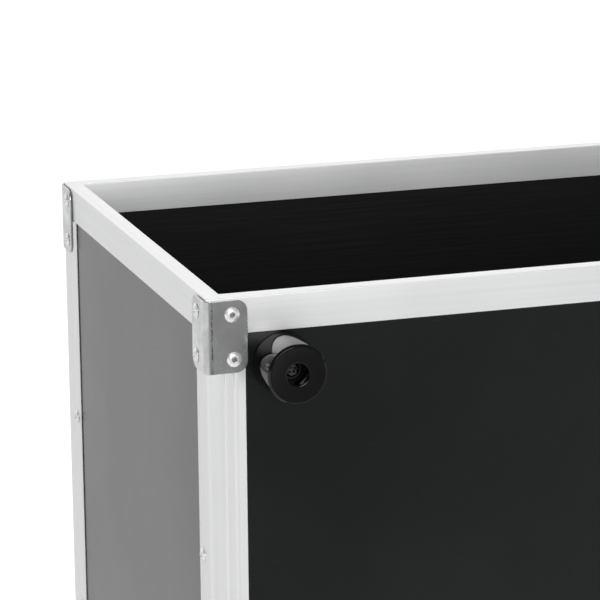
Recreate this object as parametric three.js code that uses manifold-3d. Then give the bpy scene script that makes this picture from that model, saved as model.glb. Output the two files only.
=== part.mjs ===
// A hard equipment case, open at the top: black laminated plywood panels held at every edge by
// aluminium extrusions. A U-channel caps the rim, ribbed angles cover the posts and base edges, bent
// steel brackets tie the rim corners and ball corners close the base. Four tall rubber feet stand out
// of the front panel. Each side carries a sprung bail handle, the front panel a turn latch, and the
// back panel the lower halves of two loose-pin hinges, for a lid that is taken off.
// Millimetres, +Z up, +X to the right, the front panel faces -Y.

import * as THREE from "three";
import { mergeVertices } from "three/addons/utils/BufferGeometryUtils.js";
import Module from "manifold-3d";

const wasm = await Module();
wasm.setup();

// ---------------------------------------------------------------- driving sizes

// The case, over its aluminium rim and down to the underside of its base angles
const caseWidth = 660;
const caseDepth = 365;
const caseHeight = 620;

const boardThickness = 9;
const fitGap = 0.2;
const joinOverlap = 0.1;

// Rim channel
const rimWall = 1.05;
const rimFlange = 23;
const mitreGap = 0.12;

// Ribbed angle of the posts and base edges
const angleLeg = 25;
const backPostSideLeg = 33;
const angleWall = 1.5;
const angleBendRadius = 3;
const grooveDepth = 0.35;
const grooveHalfWidth = 0.55;
const grooveOffsets = [11.6, 17.9];
const lipWidth = 4.8;
const lipDrop = 0.8;

// Bent steel bracket on each rim corner
const bracketLeg = 27.6;
const bracketHeight = 45.9;
const bracketWall = 1.2;
const bracketBelowRim = 1.3;
const bracketCornerRadius = 7.5;
const bracketBendRadius = 3.4;

// Ball corner on each base corner
const ballLeg = 36;
const ballWall = 1.2;
const ballRadius = 15;
const ballInset = 9;
const ballFlat = 0.9;
const ballLegCut = 12;

// Rubber feet on the front panel
const footDiameter = 38;
const footHeight = 31.75;
const footChamfer = 1.1;
const footBesideAngle = 4.5;
const footBelowFlange = 1.7;
const footAboveBall = 5;
const footPocketDiameter = 14.3;
const footPocketDepth = 16;

const footScrewDiameter = 4.8;
const screwHeadDiameter = 9.4;
const screwHeadHeight = 2.6;
const screwRecess = 1.6;
const screwRecessWidth = 1.1;
const screwRecessReach = 0.55;
const screwShankClearance = 0.3;
const screwEngagement = 8;
const washerDiameter = 13.4;
const washerThickness = 1.2;

// Sprung bail handle on each side panel
const handleBelowRim = 338;
const handlePanWidth = 148;
const handlePanHeight = 92;
const handlePanDepth = 16.2;
const handlePanDraft = 4;
const handleFlangeBorder = 11;
const pressedWall = 1.2;
const panCornerRadius = 12;
const bailRodDiameter = 8;
const bailBendRadius = 6;
const bailReach = 52;
const bailHalfSpan = 54.5;
const bailPivotUp = 28;
const bailPivotDepth = 5;
const gripDiameter = 18;
const gripWaist = 1.2;
const earThickness = 2.5;
const earRadius = 7.2;
const earFromPinEnd = 1;
const pinEndGap = 2;
const pivotClearance = 0.3;
const springWire = 1.2;
const springTurns = 3;
const springPitch = 1.5;

// Turn latch in the front panel
const latchPanWidth = 84;
const latchPanHeight = 88;
const latchPanDepth = 14;
const latchPanDraft = 3;
const latchFlangeBorder = 8;
const latchBelowChannel = 3;
const camRadius = 12;
const camThrow = 6;
const camBelowCentre = 10;
const camCapRadius = 17;
const camCapThickness = 1.2;
const camThickness = 2.4;
const camStandHeight = 4.2;
const camStandRadius = 8;
const hookWidth = 34;
const hookThickness = 1.6;
const hookSlack = 1.7;
const hookTail = 6;
const hookAboveRim = 4;
const hookLip = 5.5;
const hookOverRim = 1.2;
const hookStepStart = 8;
const hookStepEnd = 16;
const hookSlopeShift = 0.6;
const eyeSideGap = 0.6;
const wingRadius = 24;
const wingThickness = 1.6;
const wingBarrelRadius = 2.2;
const wingPinRadius = 1.2;
const lugSpacing = 10;
const lugThickness = 2.4;
const lugWall = 0.8;
const thumbHoleRadius = 5.3;
const thumbHoleBelow = 15;

// Lower half of a loose-pin hinge, two on the back panel
const hingeFromSide = 165;
const hingeWidth = 70;
const hingeLeafHeight = 46;
const hingeWall = 1.5;
const hingeBelowRim = 3.2;
const hingeStepRun = 3;
const hingeStepGap = 1;
const knuckleRadius = 2.4;
const knuckleLength = 17;
const hingePinRadius = 1.2;
const hingePinHead = 2;
const hingePinHeadLength = 1.5;

// ---------------------------------------------------------------- sizes that follow

const panelInset = rimWall + fitGap;
const rimWidth = boardThickness + 2 * panelInset;
const panelOuterX = caseWidth / 2 - panelInset;
const panelOuterY = caseDepth / 2 - panelInset;
const panelInnerX = panelOuterX - boardThickness;
const panelInnerY = panelOuterY - boardThickness;
const panelBaseZ = angleWall + fitGap;
const boardTopZ = caseHeight - panelInset;
const angleProud = angleWall + fitGap - panelInset;
const channelBottomZ = caseHeight - rimFlange;

// ---------------------------------------------------------------- finishes

const finish = (name, color, roughness, metalness) =>
  new THREE.MeshStandardMaterial({ name, color, roughness, metalness });

const laminate = finish("laminate", 0x1d1f1f, 0.45, 0);
const plywood = finish("plywood", 0x151615, 0.7, 0);
const aluminium = finish("aluminium", 0xd9dadb, 0.35, 0.9);
const zincSteel = finish("zinc_steel", 0x7d7f80, 0.4, 0.9);
const brightSteel = finish("bright_steel", 0xb9bbbd, 0.25, 1);
const rubber = finish("rubber", 0x141414, 0.3, 0);
const gripRubber = finish("grip_rubber", 0x1a1a1a, 0.6, 0);

// ---------------------------------------------------------------- solid helpers

// A closed geometry as a solid that can be joined and cut.
function solid(geometry) {
  const bare = geometry.clone();
  bare.deleteAttribute("normal");
  bare.deleteAttribute("uv");
  const merged = mergeVertices(bare, 1e-4);
  return new wasm.Manifold(
    new wasm.Mesh({
      numProp: 3,
      vertProperties: new Float32Array(merged.attributes.position.array),
      triVerts: new Uint32Array(merged.index.array),
    }),
  );
}

// A solid back as a geometry that three.js can show.
function geometryOf(manifold) {
  const made = manifold.getMesh();
  const geometry = new THREE.BufferGeometry();
  geometry.setAttribute("position", new THREE.BufferAttribute(made.vertProperties, 3));
  geometry.setIndex(new THREE.BufferAttribute(made.triVerts, 1));
  const flat = geometry.toNonIndexed();
  flat.computeVertexNormals();
  return flat;
}

function block(xs, ys, zs) {
  const size = [xs, ys, zs].map(([low, high]) => high - low);
  const middle = [xs, ys, zs].map(([low, high]) => (low + high) / 2);
  return solid(new THREE.BoxGeometry(...size).translate(...middle));
}

// A flat outline in X and Y, raised between two heights.
function prism(shape, [low, high], curveSegments = 6) {
  const depth = high - low;
  const geometry = new THREE.ExtrudeGeometry(shape, { depth, bevelEnabled: false, curveSegments });
  return solid(geometry.translate(0, 0, low));
}

// A round bar along Z.
function bar(radius, [low, high], sides = 20) {
  const geometry = new THREE.CylinderGeometry(radius, radius, high - low, sides);
  geometry.rotateX(Math.PI / 2);
  return solid(geometry.translate(0, 0, (low + high) / 2));
}

// A turned solid about Z. The profile is a list of [radius, height] that starts and ends on the axis
// or comes back to its start.
function turned(profile, segments = 24) {
  const points = profile.map(([radius, height]) => new THREE.Vector2(radius, height));
  const geometry = new THREE.LatheGeometry(points, segments).rotateX(Math.PI / 2);
  return solid(geometry);
}

function roundedRectangle(width, height, radius) {
  const x = width / 2;
  const y = height / 2;
  const shape = new THREE.Shape();
  shape.moveTo(-x + radius, -y);
  shape.lineTo(x - radius, -y);
  shape.absarc(x - radius, -y + radius, radius, -Math.PI / 2, 0, false);
  shape.lineTo(x, y - radius);
  shape.absarc(x - radius, y - radius, radius, 0, Math.PI / 2, false);
  shape.lineTo(-x + radius, y);
  shape.absarc(-x + radius, y - radius, radius, Math.PI / 2, Math.PI, false);
  shape.lineTo(-x, -y + radius);
  shape.absarc(-x + radius, -y + radius, radius, Math.PI, 1.5 * Math.PI, false);
  return shape;
}

function named(name, body, material) {
  const mesh = new THREE.Mesh(body.isBufferGeometry ? body : geometryOf(body), material);
  mesh.name = name;
  return mesh;
}

const X = new THREE.Vector3(1, 0, 0);
const Y = new THREE.Vector3(0, 1, 0);
const Z = new THREE.Vector3(0, 0, 1);

// Turns and moves an object so that its own X, Y and Z point along the three given directions.
function stand(object, origin, alongX, alongY, alongZ) {
  const basis = new THREE.Matrix4().makeBasis(alongX, alongY, alongZ);
  object.quaternion.setFromRotationMatrix(basis);
  object.position.copy(origin);
  return object;
}

const minus = (v) => v.clone().negate();
const at = (x, y, z) => new THREE.Vector3(x, y, z);

// ---------------------------------------------------------------- where things sit

// Feet: one near each corner of the front panel, beside the posts, under the rim's flange and above
// the ball corners.
const footX = caseWidth / 2 - angleLeg - footBesideAngle - footDiameter / 2;
const upperFootZ = channelBottomZ - footBelowFlange - footDiameter / 2;
const lowerFootZ = ballLeg + footAboveBall + footDiameter / 2;
const footPlaces = [];
for (const [side, x] of [["left", -footX], ["right", footX]]) {
  footPlaces.push({ name: `upper_${side}`, x, z: upperFootZ });
  footPlaces.push({ name: `lower_${side}`, x, z: lowerFootZ });
}

const handleZ = caseHeight - handleBelowRim;
const hingeX = caseWidth / 2 - hingeFromSide;
const latchZ = channelBottomZ - latchBelowChannel - latchFlangeBorder - latchPanHeight / 2;

// ---------------------------------------------------------------- panels

const screwHoleRadius = footScrewDiameter / 2 + screwShankClearance;
const panCutGap = 0.4;

function panOpening(width, height, depthRange) {
  const radius = panCornerRadius + panCutGap;
  const outline = roundedRectangle(width + 2 * panCutGap, height + 2 * panCutGap, radius);
  return prism(outline, depthRange);
}

function frontOrBackPanel(name, facing) {
  const outerY = facing * panelOuterY;
  const innerY = facing * panelInnerY;
  const ys = [Math.min(outerY, innerY), Math.max(outerY, innerY)];
  let board = block([-panelOuterX, panelOuterX], ys, [panelBaseZ, boardTopZ]);
  if (facing < 0) {
    const middleY = (outerY + innerY) / 2;
    const through = [-boardThickness, boardThickness];
    const latchCut = panOpening(latchPanWidth, latchPanHeight, through).rotate([90, 0, 0]);
    board = board.subtract(latchCut.translate([0, middleY, latchZ]));
    for (const foot of footPlaces) {
      const hole = bar(screwHoleRadius, through, 12).rotate([90, 0, 0]);
      board = board.subtract(hole.translate([foot.x, middleY, foot.z]));
    }
  }
  return named(name, board, laminate);
}

function sidePanel(name, facing) {
  const outerX = facing * panelOuterX;
  const innerX = facing * panelInnerX;
  const xs = [Math.min(outerX, innerX), Math.max(outerX, innerX)];
  const y = panelInnerY - fitGap;
  const board = block(xs, [-y, y], [panelBaseZ, boardTopZ]);
  const through = [-boardThickness, boardThickness];
  const cut = panOpening(handlePanWidth, handlePanHeight, through).rotate([90, 0, 90]);
  return named(name, board.subtract(cut.translate([(outerX + innerX) / 2, 0, handleZ])), laminate);
}

function basePanel() {
  const x = panelInnerX - fitGap;
  const y = panelInnerY - fitGap;
  return named("panel_base", block([-x, x], [-y, y], [panelBaseZ, panelBaseZ + boardThickness]), plywood);
}

// ---------------------------------------------------------------- rim channel

// One side of the rim: a U-channel over the board's edge, its ends mitred at 45 degrees.
function rimSide(name, length, across) {
  const top = caseHeight;
  const groove = [rimWall, rimWidth - rimWall];
  const channel = block([-length / 2, length / 2], [0, rimWidth], [channelBottomZ, top]);
  const slot = block([-length, length], groove, [channelBottomZ - 1, top - rimWall]);
  const outline = new THREE.Shape();
  outline.moveTo(-length / 2 + mitreGap, 0);
  outline.lineTo(length / 2 - mitreGap, 0);
  outline.lineTo(length / 2 - mitreGap - rimWidth, rimWidth);
  outline.lineTo(-length / 2 + mitreGap + rimWidth, rimWidth);
  const mitre = prism(outline, [channelBottomZ - 1, top + 1]);
  const mesh = named(name, channel.subtract(slot).intersect(mitre), aluminium);
  const quarterTurns = { front: 0, right: 1, back: 2, left: 3 }[name.split("_")[1]];
  mesh.rotation.z = (quarterTurns * Math.PI) / 2;
  mesh.position.copy(at(0, -across / 2, 0).applyAxisAngle(Z, mesh.rotation.z));
  return mesh;
}

// ---------------------------------------------------------------- ribbed angles

// A leg's outer face as (distance from the corner, depth): two grooves, then the lip.
function angleFace(leg) {
  const face = [[angleBendRadius, 0]];
  for (const offset of grooveOffsets) {
    face.push([offset - grooveHalfWidth, 0]);
    face.push([offset, grooveDepth]);
    face.push([offset + grooveHalfWidth, 0]);
  }
  face.push([leg - lipWidth, 0]);
  face.push([leg, lipDrop]);
  return face;
}

// The angle's section: the outer corner at the origin, the first leg along X and the second along Y.
function angleSection(first, second) {
  const shape = new THREE.Shape();
  angleFace(first).forEach(([x, y], index) => (index ? shape.lineTo(x, y) : shape.moveTo(x, y)));
  shape.lineTo(first, angleWall);
  shape.lineTo(angleWall, angleWall);
  shape.lineTo(angleWall, second);
  for (const [x, y] of angleFace(second).toReversed()) shape.lineTo(y, x);
  shape.absarc(angleBendRadius, angleBendRadius, angleBendRadius, Math.PI, 1.5 * Math.PI, false);
  return shape;
}

function angleBar(name, length, first = angleLeg, second = angleLeg) {
  return named(name, prism(angleSection(first, second), [0, length], 4), aluminium);
}

// The back posts reach further along the sides than the front ones.
function posts() {
  const x = caseWidth / 2 + angleProud;
  const y = caseDepth / 2 + angleProud;
  const foot = angleLeg + fitGap;
  const length = channelBottomZ - fitGap - foot;
  const side = backPostSideLeg;
  return [
    stand(angleBar("post_front_left", length), at(-x, -y, foot), X, Y, Z),
    stand(angleBar("post_front_right", length), at(x, -y, foot), Y, minus(X), Z),
    stand(angleBar("post_back_right", length, angleLeg, side), at(x, y, foot), minus(X), minus(Y), Z),
    stand(angleBar("post_back_left", length, side, angleLeg), at(-x, y, foot), minus(Y), X, Z),
  ];
}

// The front and back base angles run the whole width, and the side ones fit between their legs.
function baseEdges() {
  const x = caseWidth / 2 + angleProud;
  const y = caseDepth / 2 + angleProud;
  const width = 2 * x;
  const sideLength = 2 * (y - angleLeg - fitGap);
  return [
    stand(angleBar("base_edge_front", width), at(-x, -y, 0), Y, Z, X),
    stand(angleBar("base_edge_back", width), at(-x, y, 0), Z, minus(Y), X),
    stand(angleBar("base_edge_left", sideLength), at(-x, -sideLength / 2, 0), Z, X, Y),
    stand(angleBar("base_edge_right", sideLength), at(x, -sideLength / 2, 0), minus(X), Z, Y),
  ];
}

// ---------------------------------------------------------------- rim corner brackets

// A leg's outline from past the bend to its free end, where both corners are rounded.
function bracketLegOutline() {
  const shape = new THREE.Shape();
  const end = bracketLeg;
  const radius = bracketCornerRadius;
  shape.moveTo(-bracketLeg, 0);
  shape.lineTo(end - radius, 0);
  shape.absarc(end - radius, radius, radius, -Math.PI / 2, 0, false);
  shape.lineTo(end, bracketHeight - radius);
  shape.absarc(end - radius, bracketHeight - radius, radius, 0, Math.PI / 2, false);
  shape.lineTo(-bracketLeg, bracketHeight);
  return shape;
}

function bracketSolid() {
  const bend = bracketBendRadius;
  const inner = bend - bracketWall;
  const plan = new THREE.Shape();
  plan.moveTo(bend, 0);
  plan.lineTo(bracketLeg, 0);
  plan.lineTo(bracketLeg, bracketWall);
  plan.lineTo(bend, bracketWall);
  plan.absarc(bend, bend, inner, 1.5 * Math.PI, Math.PI, true);
  plan.lineTo(bracketWall, bracketLeg);
  plan.lineTo(0, bracketLeg);
  plan.lineTo(0, bend);
  plan.absarc(bend, bend, bend, Math.PI, 1.5 * Math.PI, false);
  const bent = prism(plan, [0, bracketHeight], 5);
  const across = [-bracketLeg * 2, bracketLeg * 2];
  const frontLeg = prism(bracketLegOutline(), across).rotate([90, 0, 0]);
  const sideLeg = prism(bracketLegOutline(), across).rotate([90, 0, 90]);
  return bent.intersect(frontLeg).intersect(sideLeg);
}

function brackets() {
  const proud = angleProud + fitGap + bracketWall;
  const x = caseWidth / 2 + proud;
  const y = caseDepth / 2 + proud;
  const z = caseHeight - bracketBelowRim - bracketHeight;
  const geometry = geometryOf(bracketSolid());
  return [
    stand(named("bracket_front_left", geometry, zincSteel), at(-x, -y, z), X, Y, Z),
    stand(named("bracket_front_right", geometry, zincSteel), at(x, -y, z), Y, minus(X), Z),
    stand(named("bracket_back_right", geometry, zincSteel), at(x, y, z), minus(X), minus(Y), Z),
    stand(named("bracket_back_left", geometry, zincSteel), at(-x, y, z), minus(Y), X, Z),
  ];
}

// ---------------------------------------------------------------- ball corners

// Three legs and a hollow ball, with the case's outer corner at the origin and its body at +X +Y +Z.
function ballCornerSolid() {
  const outside = fitGap + ballWall;
  const legs = block([-outside, ballLeg], [-outside, ballLeg], [-outside, ballLeg]);
  const leg = new THREE.Shape();
  leg.moveTo(-2 * ballLeg, -2 * ballLeg);
  leg.lineTo(ballLeg, -2 * ballLeg);
  leg.lineTo(ballLeg, ballLeg - ballLegCut);
  leg.absarc(ballLeg - ballLegCut, ballLeg - ballLegCut, ballLegCut, 0, Math.PI / 2, false);
  leg.lineTo(-2 * ballLeg, ballLeg);
  const overBase = prism(leg, [-2 * ballLeg, 2 * ballLeg], 5);
  const masks = [overBase, overBase.rotate([90, 0, 0]), overBase.rotate([90, 0, 90])];
  const ball = (radius) =>
    solid(new THREE.SphereGeometry(radius, 14, 8)).translate([ballInset, ballInset, ballInset]);
  const flatAt = ballInset - ballRadius + ballFlat;
  const trimmed = block([flatAt, ballLeg], [flatAt, ballLeg], [flatAt, ballLeg]);
  const body = masks.reduce((kept, mask) => kept.intersect(mask), legs);
  const insideOfCase = block([-fitGap, 2 * ballLeg], [-fitGap, 2 * ballLeg], [-fitGap, 2 * ballLeg]);
  const shell = body.add(ball(ballRadius).intersect(trimmed));
  return shell.subtract(ball(ballRadius - ballWall - ballFlat)).subtract(insideOfCase);
}

function ballCorners() {
  const x = caseWidth / 2 + angleProud;
  const y = caseDepth / 2 + angleProud;
  const geometry = geometryOf(ballCornerSolid());
  return [
    stand(named("ball_corner_front_left", geometry, zincSteel), at(-x, -y, 0), X, Y, Z),
    stand(named("ball_corner_front_right", geometry, zincSteel), at(x, -y, 0), Y, minus(X), Z),
    stand(named("ball_corner_back_right", geometry, zincSteel), at(x, y, 0), minus(X), minus(Y), Z),
    stand(named("ball_corner_back_left", geometry, zincSteel), at(-x, y, 0), minus(Y), X, Z),
  ];
}

// ---------------------------------------------------------------- rubber feet

// A foot's own Z points out of the panel, with the panel's face at zero.
const footSeat = fitGap;
const pocketFloor = footSeat + footHeight - footPocketDepth;

function footSolid() {
  const radius = footDiameter / 2;
  const top = footSeat + footHeight;
  const bore = screwHoleRadius;
  const pocket = footPocketDiameter / 2;
  return turned(
    [
      [bore, footSeat],
      [radius - footChamfer, footSeat],
      [radius, footSeat + footChamfer],
      [radius, top - footChamfer],
      [radius - footChamfer, top],
      [pocket, top],
      [pocket, pocketFloor],
      [bore, pocketFloor],
      [bore, footSeat],
    ],
    28,
  );
}

const washerFloor = pocketFloor + fitGap;
const headFloor = washerFloor + washerThickness + fitGap;

function washerSolid() {
  const inner = screwHoleRadius;
  const outer = washerDiameter / 2;
  const top = washerFloor + washerThickness;
  const ring = [[inner, washerFloor], [outer, washerFloor], [outer, top], [inner, top], [inner, washerFloor]];
  return turned(ring, 16);
}

// A pan-head screw with a cross recess, driven into the panel.
function screwSolid() {
  const shank = footScrewDiameter / 2;
  const head = screwHeadDiameter / 2;
  const top = headFloor + screwHeadHeight;
  const tip = -screwEngagement;
  const body = turned(
    [
      [0, tip],
      [shank * 0.4, tip],
      [shank, tip + shank],
      [shank, headFloor],
      [head, headFloor],
      [head, headFloor + screwHeadHeight * 0.45],
      [head * 0.8, headFloor + screwHeadHeight * 0.85],
      [head * 0.45, top],
      [0, top],
    ],
    16,
  );
  const arm = head * screwRecessReach;
  const half = screwRecessWidth / 2;
  const cut = [top - screwRecess, top + 1];
  const cross = block([-arm, arm], [-half, half], cut).add(block([-half, half], [-arm, arm], cut));
  return body.subtract(cross);
}

function feet() {
  const foot = geometryOf(footSolid());
  const washer = geometryOf(washerSolid());
  const screw = geometryOf(screwSolid());
  return footPlaces.map((place) => {
    const group = new THREE.Group();
    group.add(named(`foot_${place.name}`, foot, rubber));
    group.add(named(`foot_washer_${place.name}`, washer, brightSteel));
    group.add(named(`foot_screw_${place.name}`, screw, zincSteel));
    return stand(group, at(place.x, -panelOuterY, place.z), X, Z, minus(Y));
  });
}

// ---------------------------------------------------------------- pressed pans

// A pressed sheet pan with sloping floor edges and a flat flange. Its own Z points out of the panel,
// whose face is at zero.
function pressedPan(width, height, depth, draft, border) {
  const flangeTop = fitGap + pressedWall;
  const hollow = (inset, floor, top) => {
    const innerWidth = width - 2 * inset - 2 * draft;
    const innerHeight = height - 2 * inset - 2 * draft;
    const radius = Math.max(panCornerRadius - inset - draft, 1);
    const bevelled = new THREE.ExtrudeGeometry(roundedRectangle(innerWidth, innerHeight, radius), {
      depth: top - floor,
      bevelThickness: draft,
      bevelSize: draft,
      bevelSegments: 2,
      curveSegments: 3,
    });
    const wide = solid(bevelled.translate(0, 0, floor + draft));
    return wide.intersect(block([-width, width], [-height, height], [floor, top]));
  };
  const outline = roundedRectangle(width + 2 * border, height + 2 * border, panCornerRadius);
  const flange = prism(outline, [fitGap, flangeTop], 4);
  const outer = hollow(0, -depth, flangeTop);
  return flange.add(outer).subtract(hollow(pressedWall, pressedWall - depth, flangeTop + depth));
}

// ---------------------------------------------------------------- sprung handles

// In a handle's own frame X runs along the grip, Y is up the panel and Z points out of it.
const handleFloor = pressedWall - handlePanDepth;
const pivotZ = -bailPivotDepth;
const pinReach = handlePanWidth / 2 - pressedWall - pinEndGap;
const earInner = pinReach - earFromPinEnd - earThickness;

function handleDish() {
  const pan = pressedPan(handlePanWidth, handlePanHeight, handlePanDepth, handlePanDraft, handleFlangeBorder);
  const boreRadius = bailRodDiameter / 2 + pivotClearance;
  const ear = (side) => {
    const outline = new THREE.Shape();
    outline.moveTo(-earRadius, handleFloor - pressedWall / 2);
    outline.lineTo(earRadius, handleFloor - pressedWall / 2);
    outline.lineTo(earRadius, pivotZ);
    outline.absarc(0, pivotZ, earRadius, 0, Math.PI, false);
    outline.lineTo(-earRadius, handleFloor - pressedWall / 2);
    const bore = new THREE.Path();
    bore.absarc(0, pivotZ, boreRadius, 0, 2 * Math.PI, true);
    outline.holes.push(bore);
    const plate = prism(outline, [0, earThickness], 8).rotate([90, 0, 90]);
    const x = side > 0 ? earInner : -earInner - earThickness;
    return plate.translate([x, bailPivotUp, 0]);
  };
  return pan.add(ear(1)).add(ear(-1));
}

// The bail is one bent rod: a pin at each end, two legs and the bar that the grip sits on.
function bailRod() {
  const radius = bailRodDiameter / 2;
  const bend = bailBendRadius;
  const path = new THREE.CurvePath();
  const pivotY = bailPivotUp;
  const barY = bailPivotUp - bailReach;
  const point = (x, y) => at(x, y, pivotZ);
  const line = (from, to) => path.add(new THREE.LineCurve3(from, to));
  const turn = (from, corner, to) => path.add(new THREE.QuadraticBezierCurve3(from, corner, to));
  const half = bailHalfSpan;
  line(point(-pinReach, pivotY), point(-half - bend, pivotY));
  turn(point(-half - bend, pivotY), point(-half, pivotY), point(-half, pivotY - bend));
  line(point(-half, pivotY - bend), point(-half, barY + bend));
  turn(point(-half, barY + bend), point(-half, barY), point(-half + bend, barY));
  line(point(-half + bend, barY), point(half - bend, barY));
  turn(point(half - bend, barY), point(half, barY), point(half, barY + bend));
  line(point(half, barY + bend), point(half, pivotY - bend));
  turn(point(half, pivotY - bend), point(half, pivotY), point(half + bend, pivotY));
  line(point(half + bend, pivotY), point(pinReach, pivotY));
  const section = new THREE.Shape().absarc(0, 0, radius, 0, 2 * Math.PI, false);
  const options = { steps: 64, extrudePath: path, curveSegments: 4, bevelEnabled: false };
  return solid(new THREE.ExtrudeGeometry(section, options));
}

function gripSleeve() {
  const bore = bailRodDiameter / 2 + fitGap;
  const outer = gripDiameter / 2;
  const half = bailHalfSpan - bailBendRadius - bailRodDiameter / 2;
  const profile = [[bore, -half]];
  const stations = 8;
  for (let i = 0; i <= stations; i += 1) {
    const along = -1 + (2 * i) / stations;
    const ends = Math.abs(along) === 1 ? 1.5 : 0;
    profile.push([outer - gripWaist * along ** 2 - ends, along * half]);
  }
  profile.push([bore, half], [bore, -half]);
  const sleeve = turned(profile, 16).rotate([0, 90, 0]);
  return sleeve.translate([0, bailPivotUp - bailReach, pivotZ]);
}

// A torsion spring round one pin: its coil sits between the leg and the ear, one tail on the pan floor.
function bailSpring() {
  const radius = bailRodDiameter / 2 + fitGap + springWire / 2 + pivotClearance;
  const stepsPerTurn = 14;
  const points = [];
  const start = earInner - fitGap - springWire / 2;
  for (let i = 0; i <= springTurns * stepsPerTurn; i += 1) {
    const angle = (2 * Math.PI * i) / stepsPerTurn;
    const x = start - (springPitch * i) / stepsPerTurn;
    points.push(at(x, bailPivotUp + radius * Math.cos(angle), pivotZ + radius * Math.sin(angle)));
  }
  const path = new THREE.CatmullRomCurve3(points);
  const section = new THREE.Shape().absarc(0, 0, springWire / 2, 0, 2 * Math.PI, false);
  const steps = springTurns * stepsPerTurn;
  const options = { steps, extrudePath: path, curveSegments: 3, bevelEnabled: false };
  return solid(new THREE.ExtrudeGeometry(section, options));
}

function handle(side) {
  const group = new THREE.Group();
  group.add(named(`handle_dish_${side}`, handleDish(), zincSteel));
  group.add(named(`handle_bail_${side}`, bailRod(), zincSteel));
  group.add(named(`handle_grip_${side}`, gripSleeve(), gripRubber));
  group.add(named(`handle_spring_${side}`, bailSpring(), brightSteel));
  if (side === "left") return stand(group, at(-panelOuterX, 0, handleZ), minus(Y), Z, minus(X));
  return stand(group, at(panelOuterX, 0, handleZ), Y, Z, X);
}

// ---------------------------------------------------------------- turn latches

// In a latch's own frame X runs along the rim, Y is up the panel, Z points out of it, and the cam
// turns about the point (0, -camBelowCentre).
const latchFloor = pressedWall - latchPanDepth;
const camFloor = latchFloor + fitGap;
const camLevel = camFloor + camStandHeight;
const hookLevel = camLevel + (camThickness - hookThickness) / 2;
const capLevel = camLevel + camThickness;
const capTop = capLevel + camCapThickness;
const wingAxisZ = capTop + fitGap + wingBarrelRadius;
const hookOuterLevel = Math.max(fitGap + pressedWall, panelInset) + hookOverRim;
const rimTopInLatch = caseHeight - latchZ;

function latchDish() {
  return pressedPan(latchPanWidth, latchPanHeight, latchPanDepth, latchPanDraft, latchFlangeBorder);
}

// The cam: a stand on the pan floor, an eccentric disc inside the hook plate, a cap that keeps the
// plate down, and two lugs for the wing's pins.
function latchCam() {
  const lugBore = wingPinRadius + pivotClearance;
  const lugRadius = lugBore + lugWall + pivotClearance;
  const post = bar(camStandRadius, [camFloor, camLevel + joinOverlap]);
  const disc = bar(camRadius, [camLevel, capLevel + joinOverlap], 28).translate([0, -camThrow, 0]);
  const cap = bar(camCapRadius, [capLevel, capTop], 28);
  const outline = new THREE.Shape();
  outline.moveTo(-lugRadius, capTop - joinOverlap);
  outline.lineTo(lugRadius, capTop - joinOverlap);
  outline.lineTo(lugRadius, wingAxisZ);
  outline.absarc(0, wingAxisZ, lugRadius, 0, Math.PI, false);
  const bore = new THREE.Path();
  bore.absarc(0, wingAxisZ, lugBore, 0, 2 * Math.PI, true);
  outline.holes.push(bore);
  const lug = prism(outline, [-lugThickness / 2, lugThickness / 2], 5).rotate([90, 0, 90]);
  const lugs = lug.translate([lugSpacing, 0, 0]).add(lug.translate([-lugSpacing, 0, 0]));
  return post.add(disc).add(cap).add(lugs).translate([0, -camBelowCentre, 0]);
}

// The hook plate: flat under the cap, stepped up to pass over the dish flange and the rim, with a lip.
function latchHook() {
  const holeHalfHeight = camRadius + hookSlack;
  const holeHalfWidth = camRadius + camThrow + eyeSideGap;
  const holeY = -camBelowCentre - camThrow;
  const tail = holeY - holeHalfHeight - hookTail;
  const tip = rimTopInLatch + hookAboveRim;
  const t = hookThickness;
  const slopeShift = t * hookSlopeShift;
  const profile = new THREE.Shape();
  profile.moveTo(tail, hookLevel);
  profile.lineTo(hookStepStart, hookLevel);
  profile.lineTo(hookStepEnd, hookOuterLevel);
  profile.lineTo(tip, hookOuterLevel);
  profile.lineTo(tip, hookOuterLevel - hookLip + t);
  profile.lineTo(tip + t, hookOuterLevel - hookLip + t);
  profile.lineTo(tip + t, hookOuterLevel + t);
  profile.lineTo(hookStepEnd - slopeShift, hookOuterLevel + t);
  profile.lineTo(hookStepStart - slopeShift, hookLevel + t);
  profile.lineTo(tail, hookLevel + t);
  const plate = prism(profile, [-hookWidth / 2, hookWidth / 2]).rotate([90, 0, 90]);
  const wide = 2 * holeHalfWidth + 2 * hookTail;
  const eye = block([-wide / 2, wide / 2], [tail, hookStepStart - 2 * t], [hookLevel, hookLevel + t]);
  const hole = prism(roundedRectangle(2 * holeHalfWidth, 2 * holeHalfHeight, holeHalfHeight - 0.01), [
    hookLevel - 1,
    hookLevel + t + 1,
  ]);
  return plate.add(eye).subtract(hole.translate([0, holeY, 0]));
}

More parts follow.
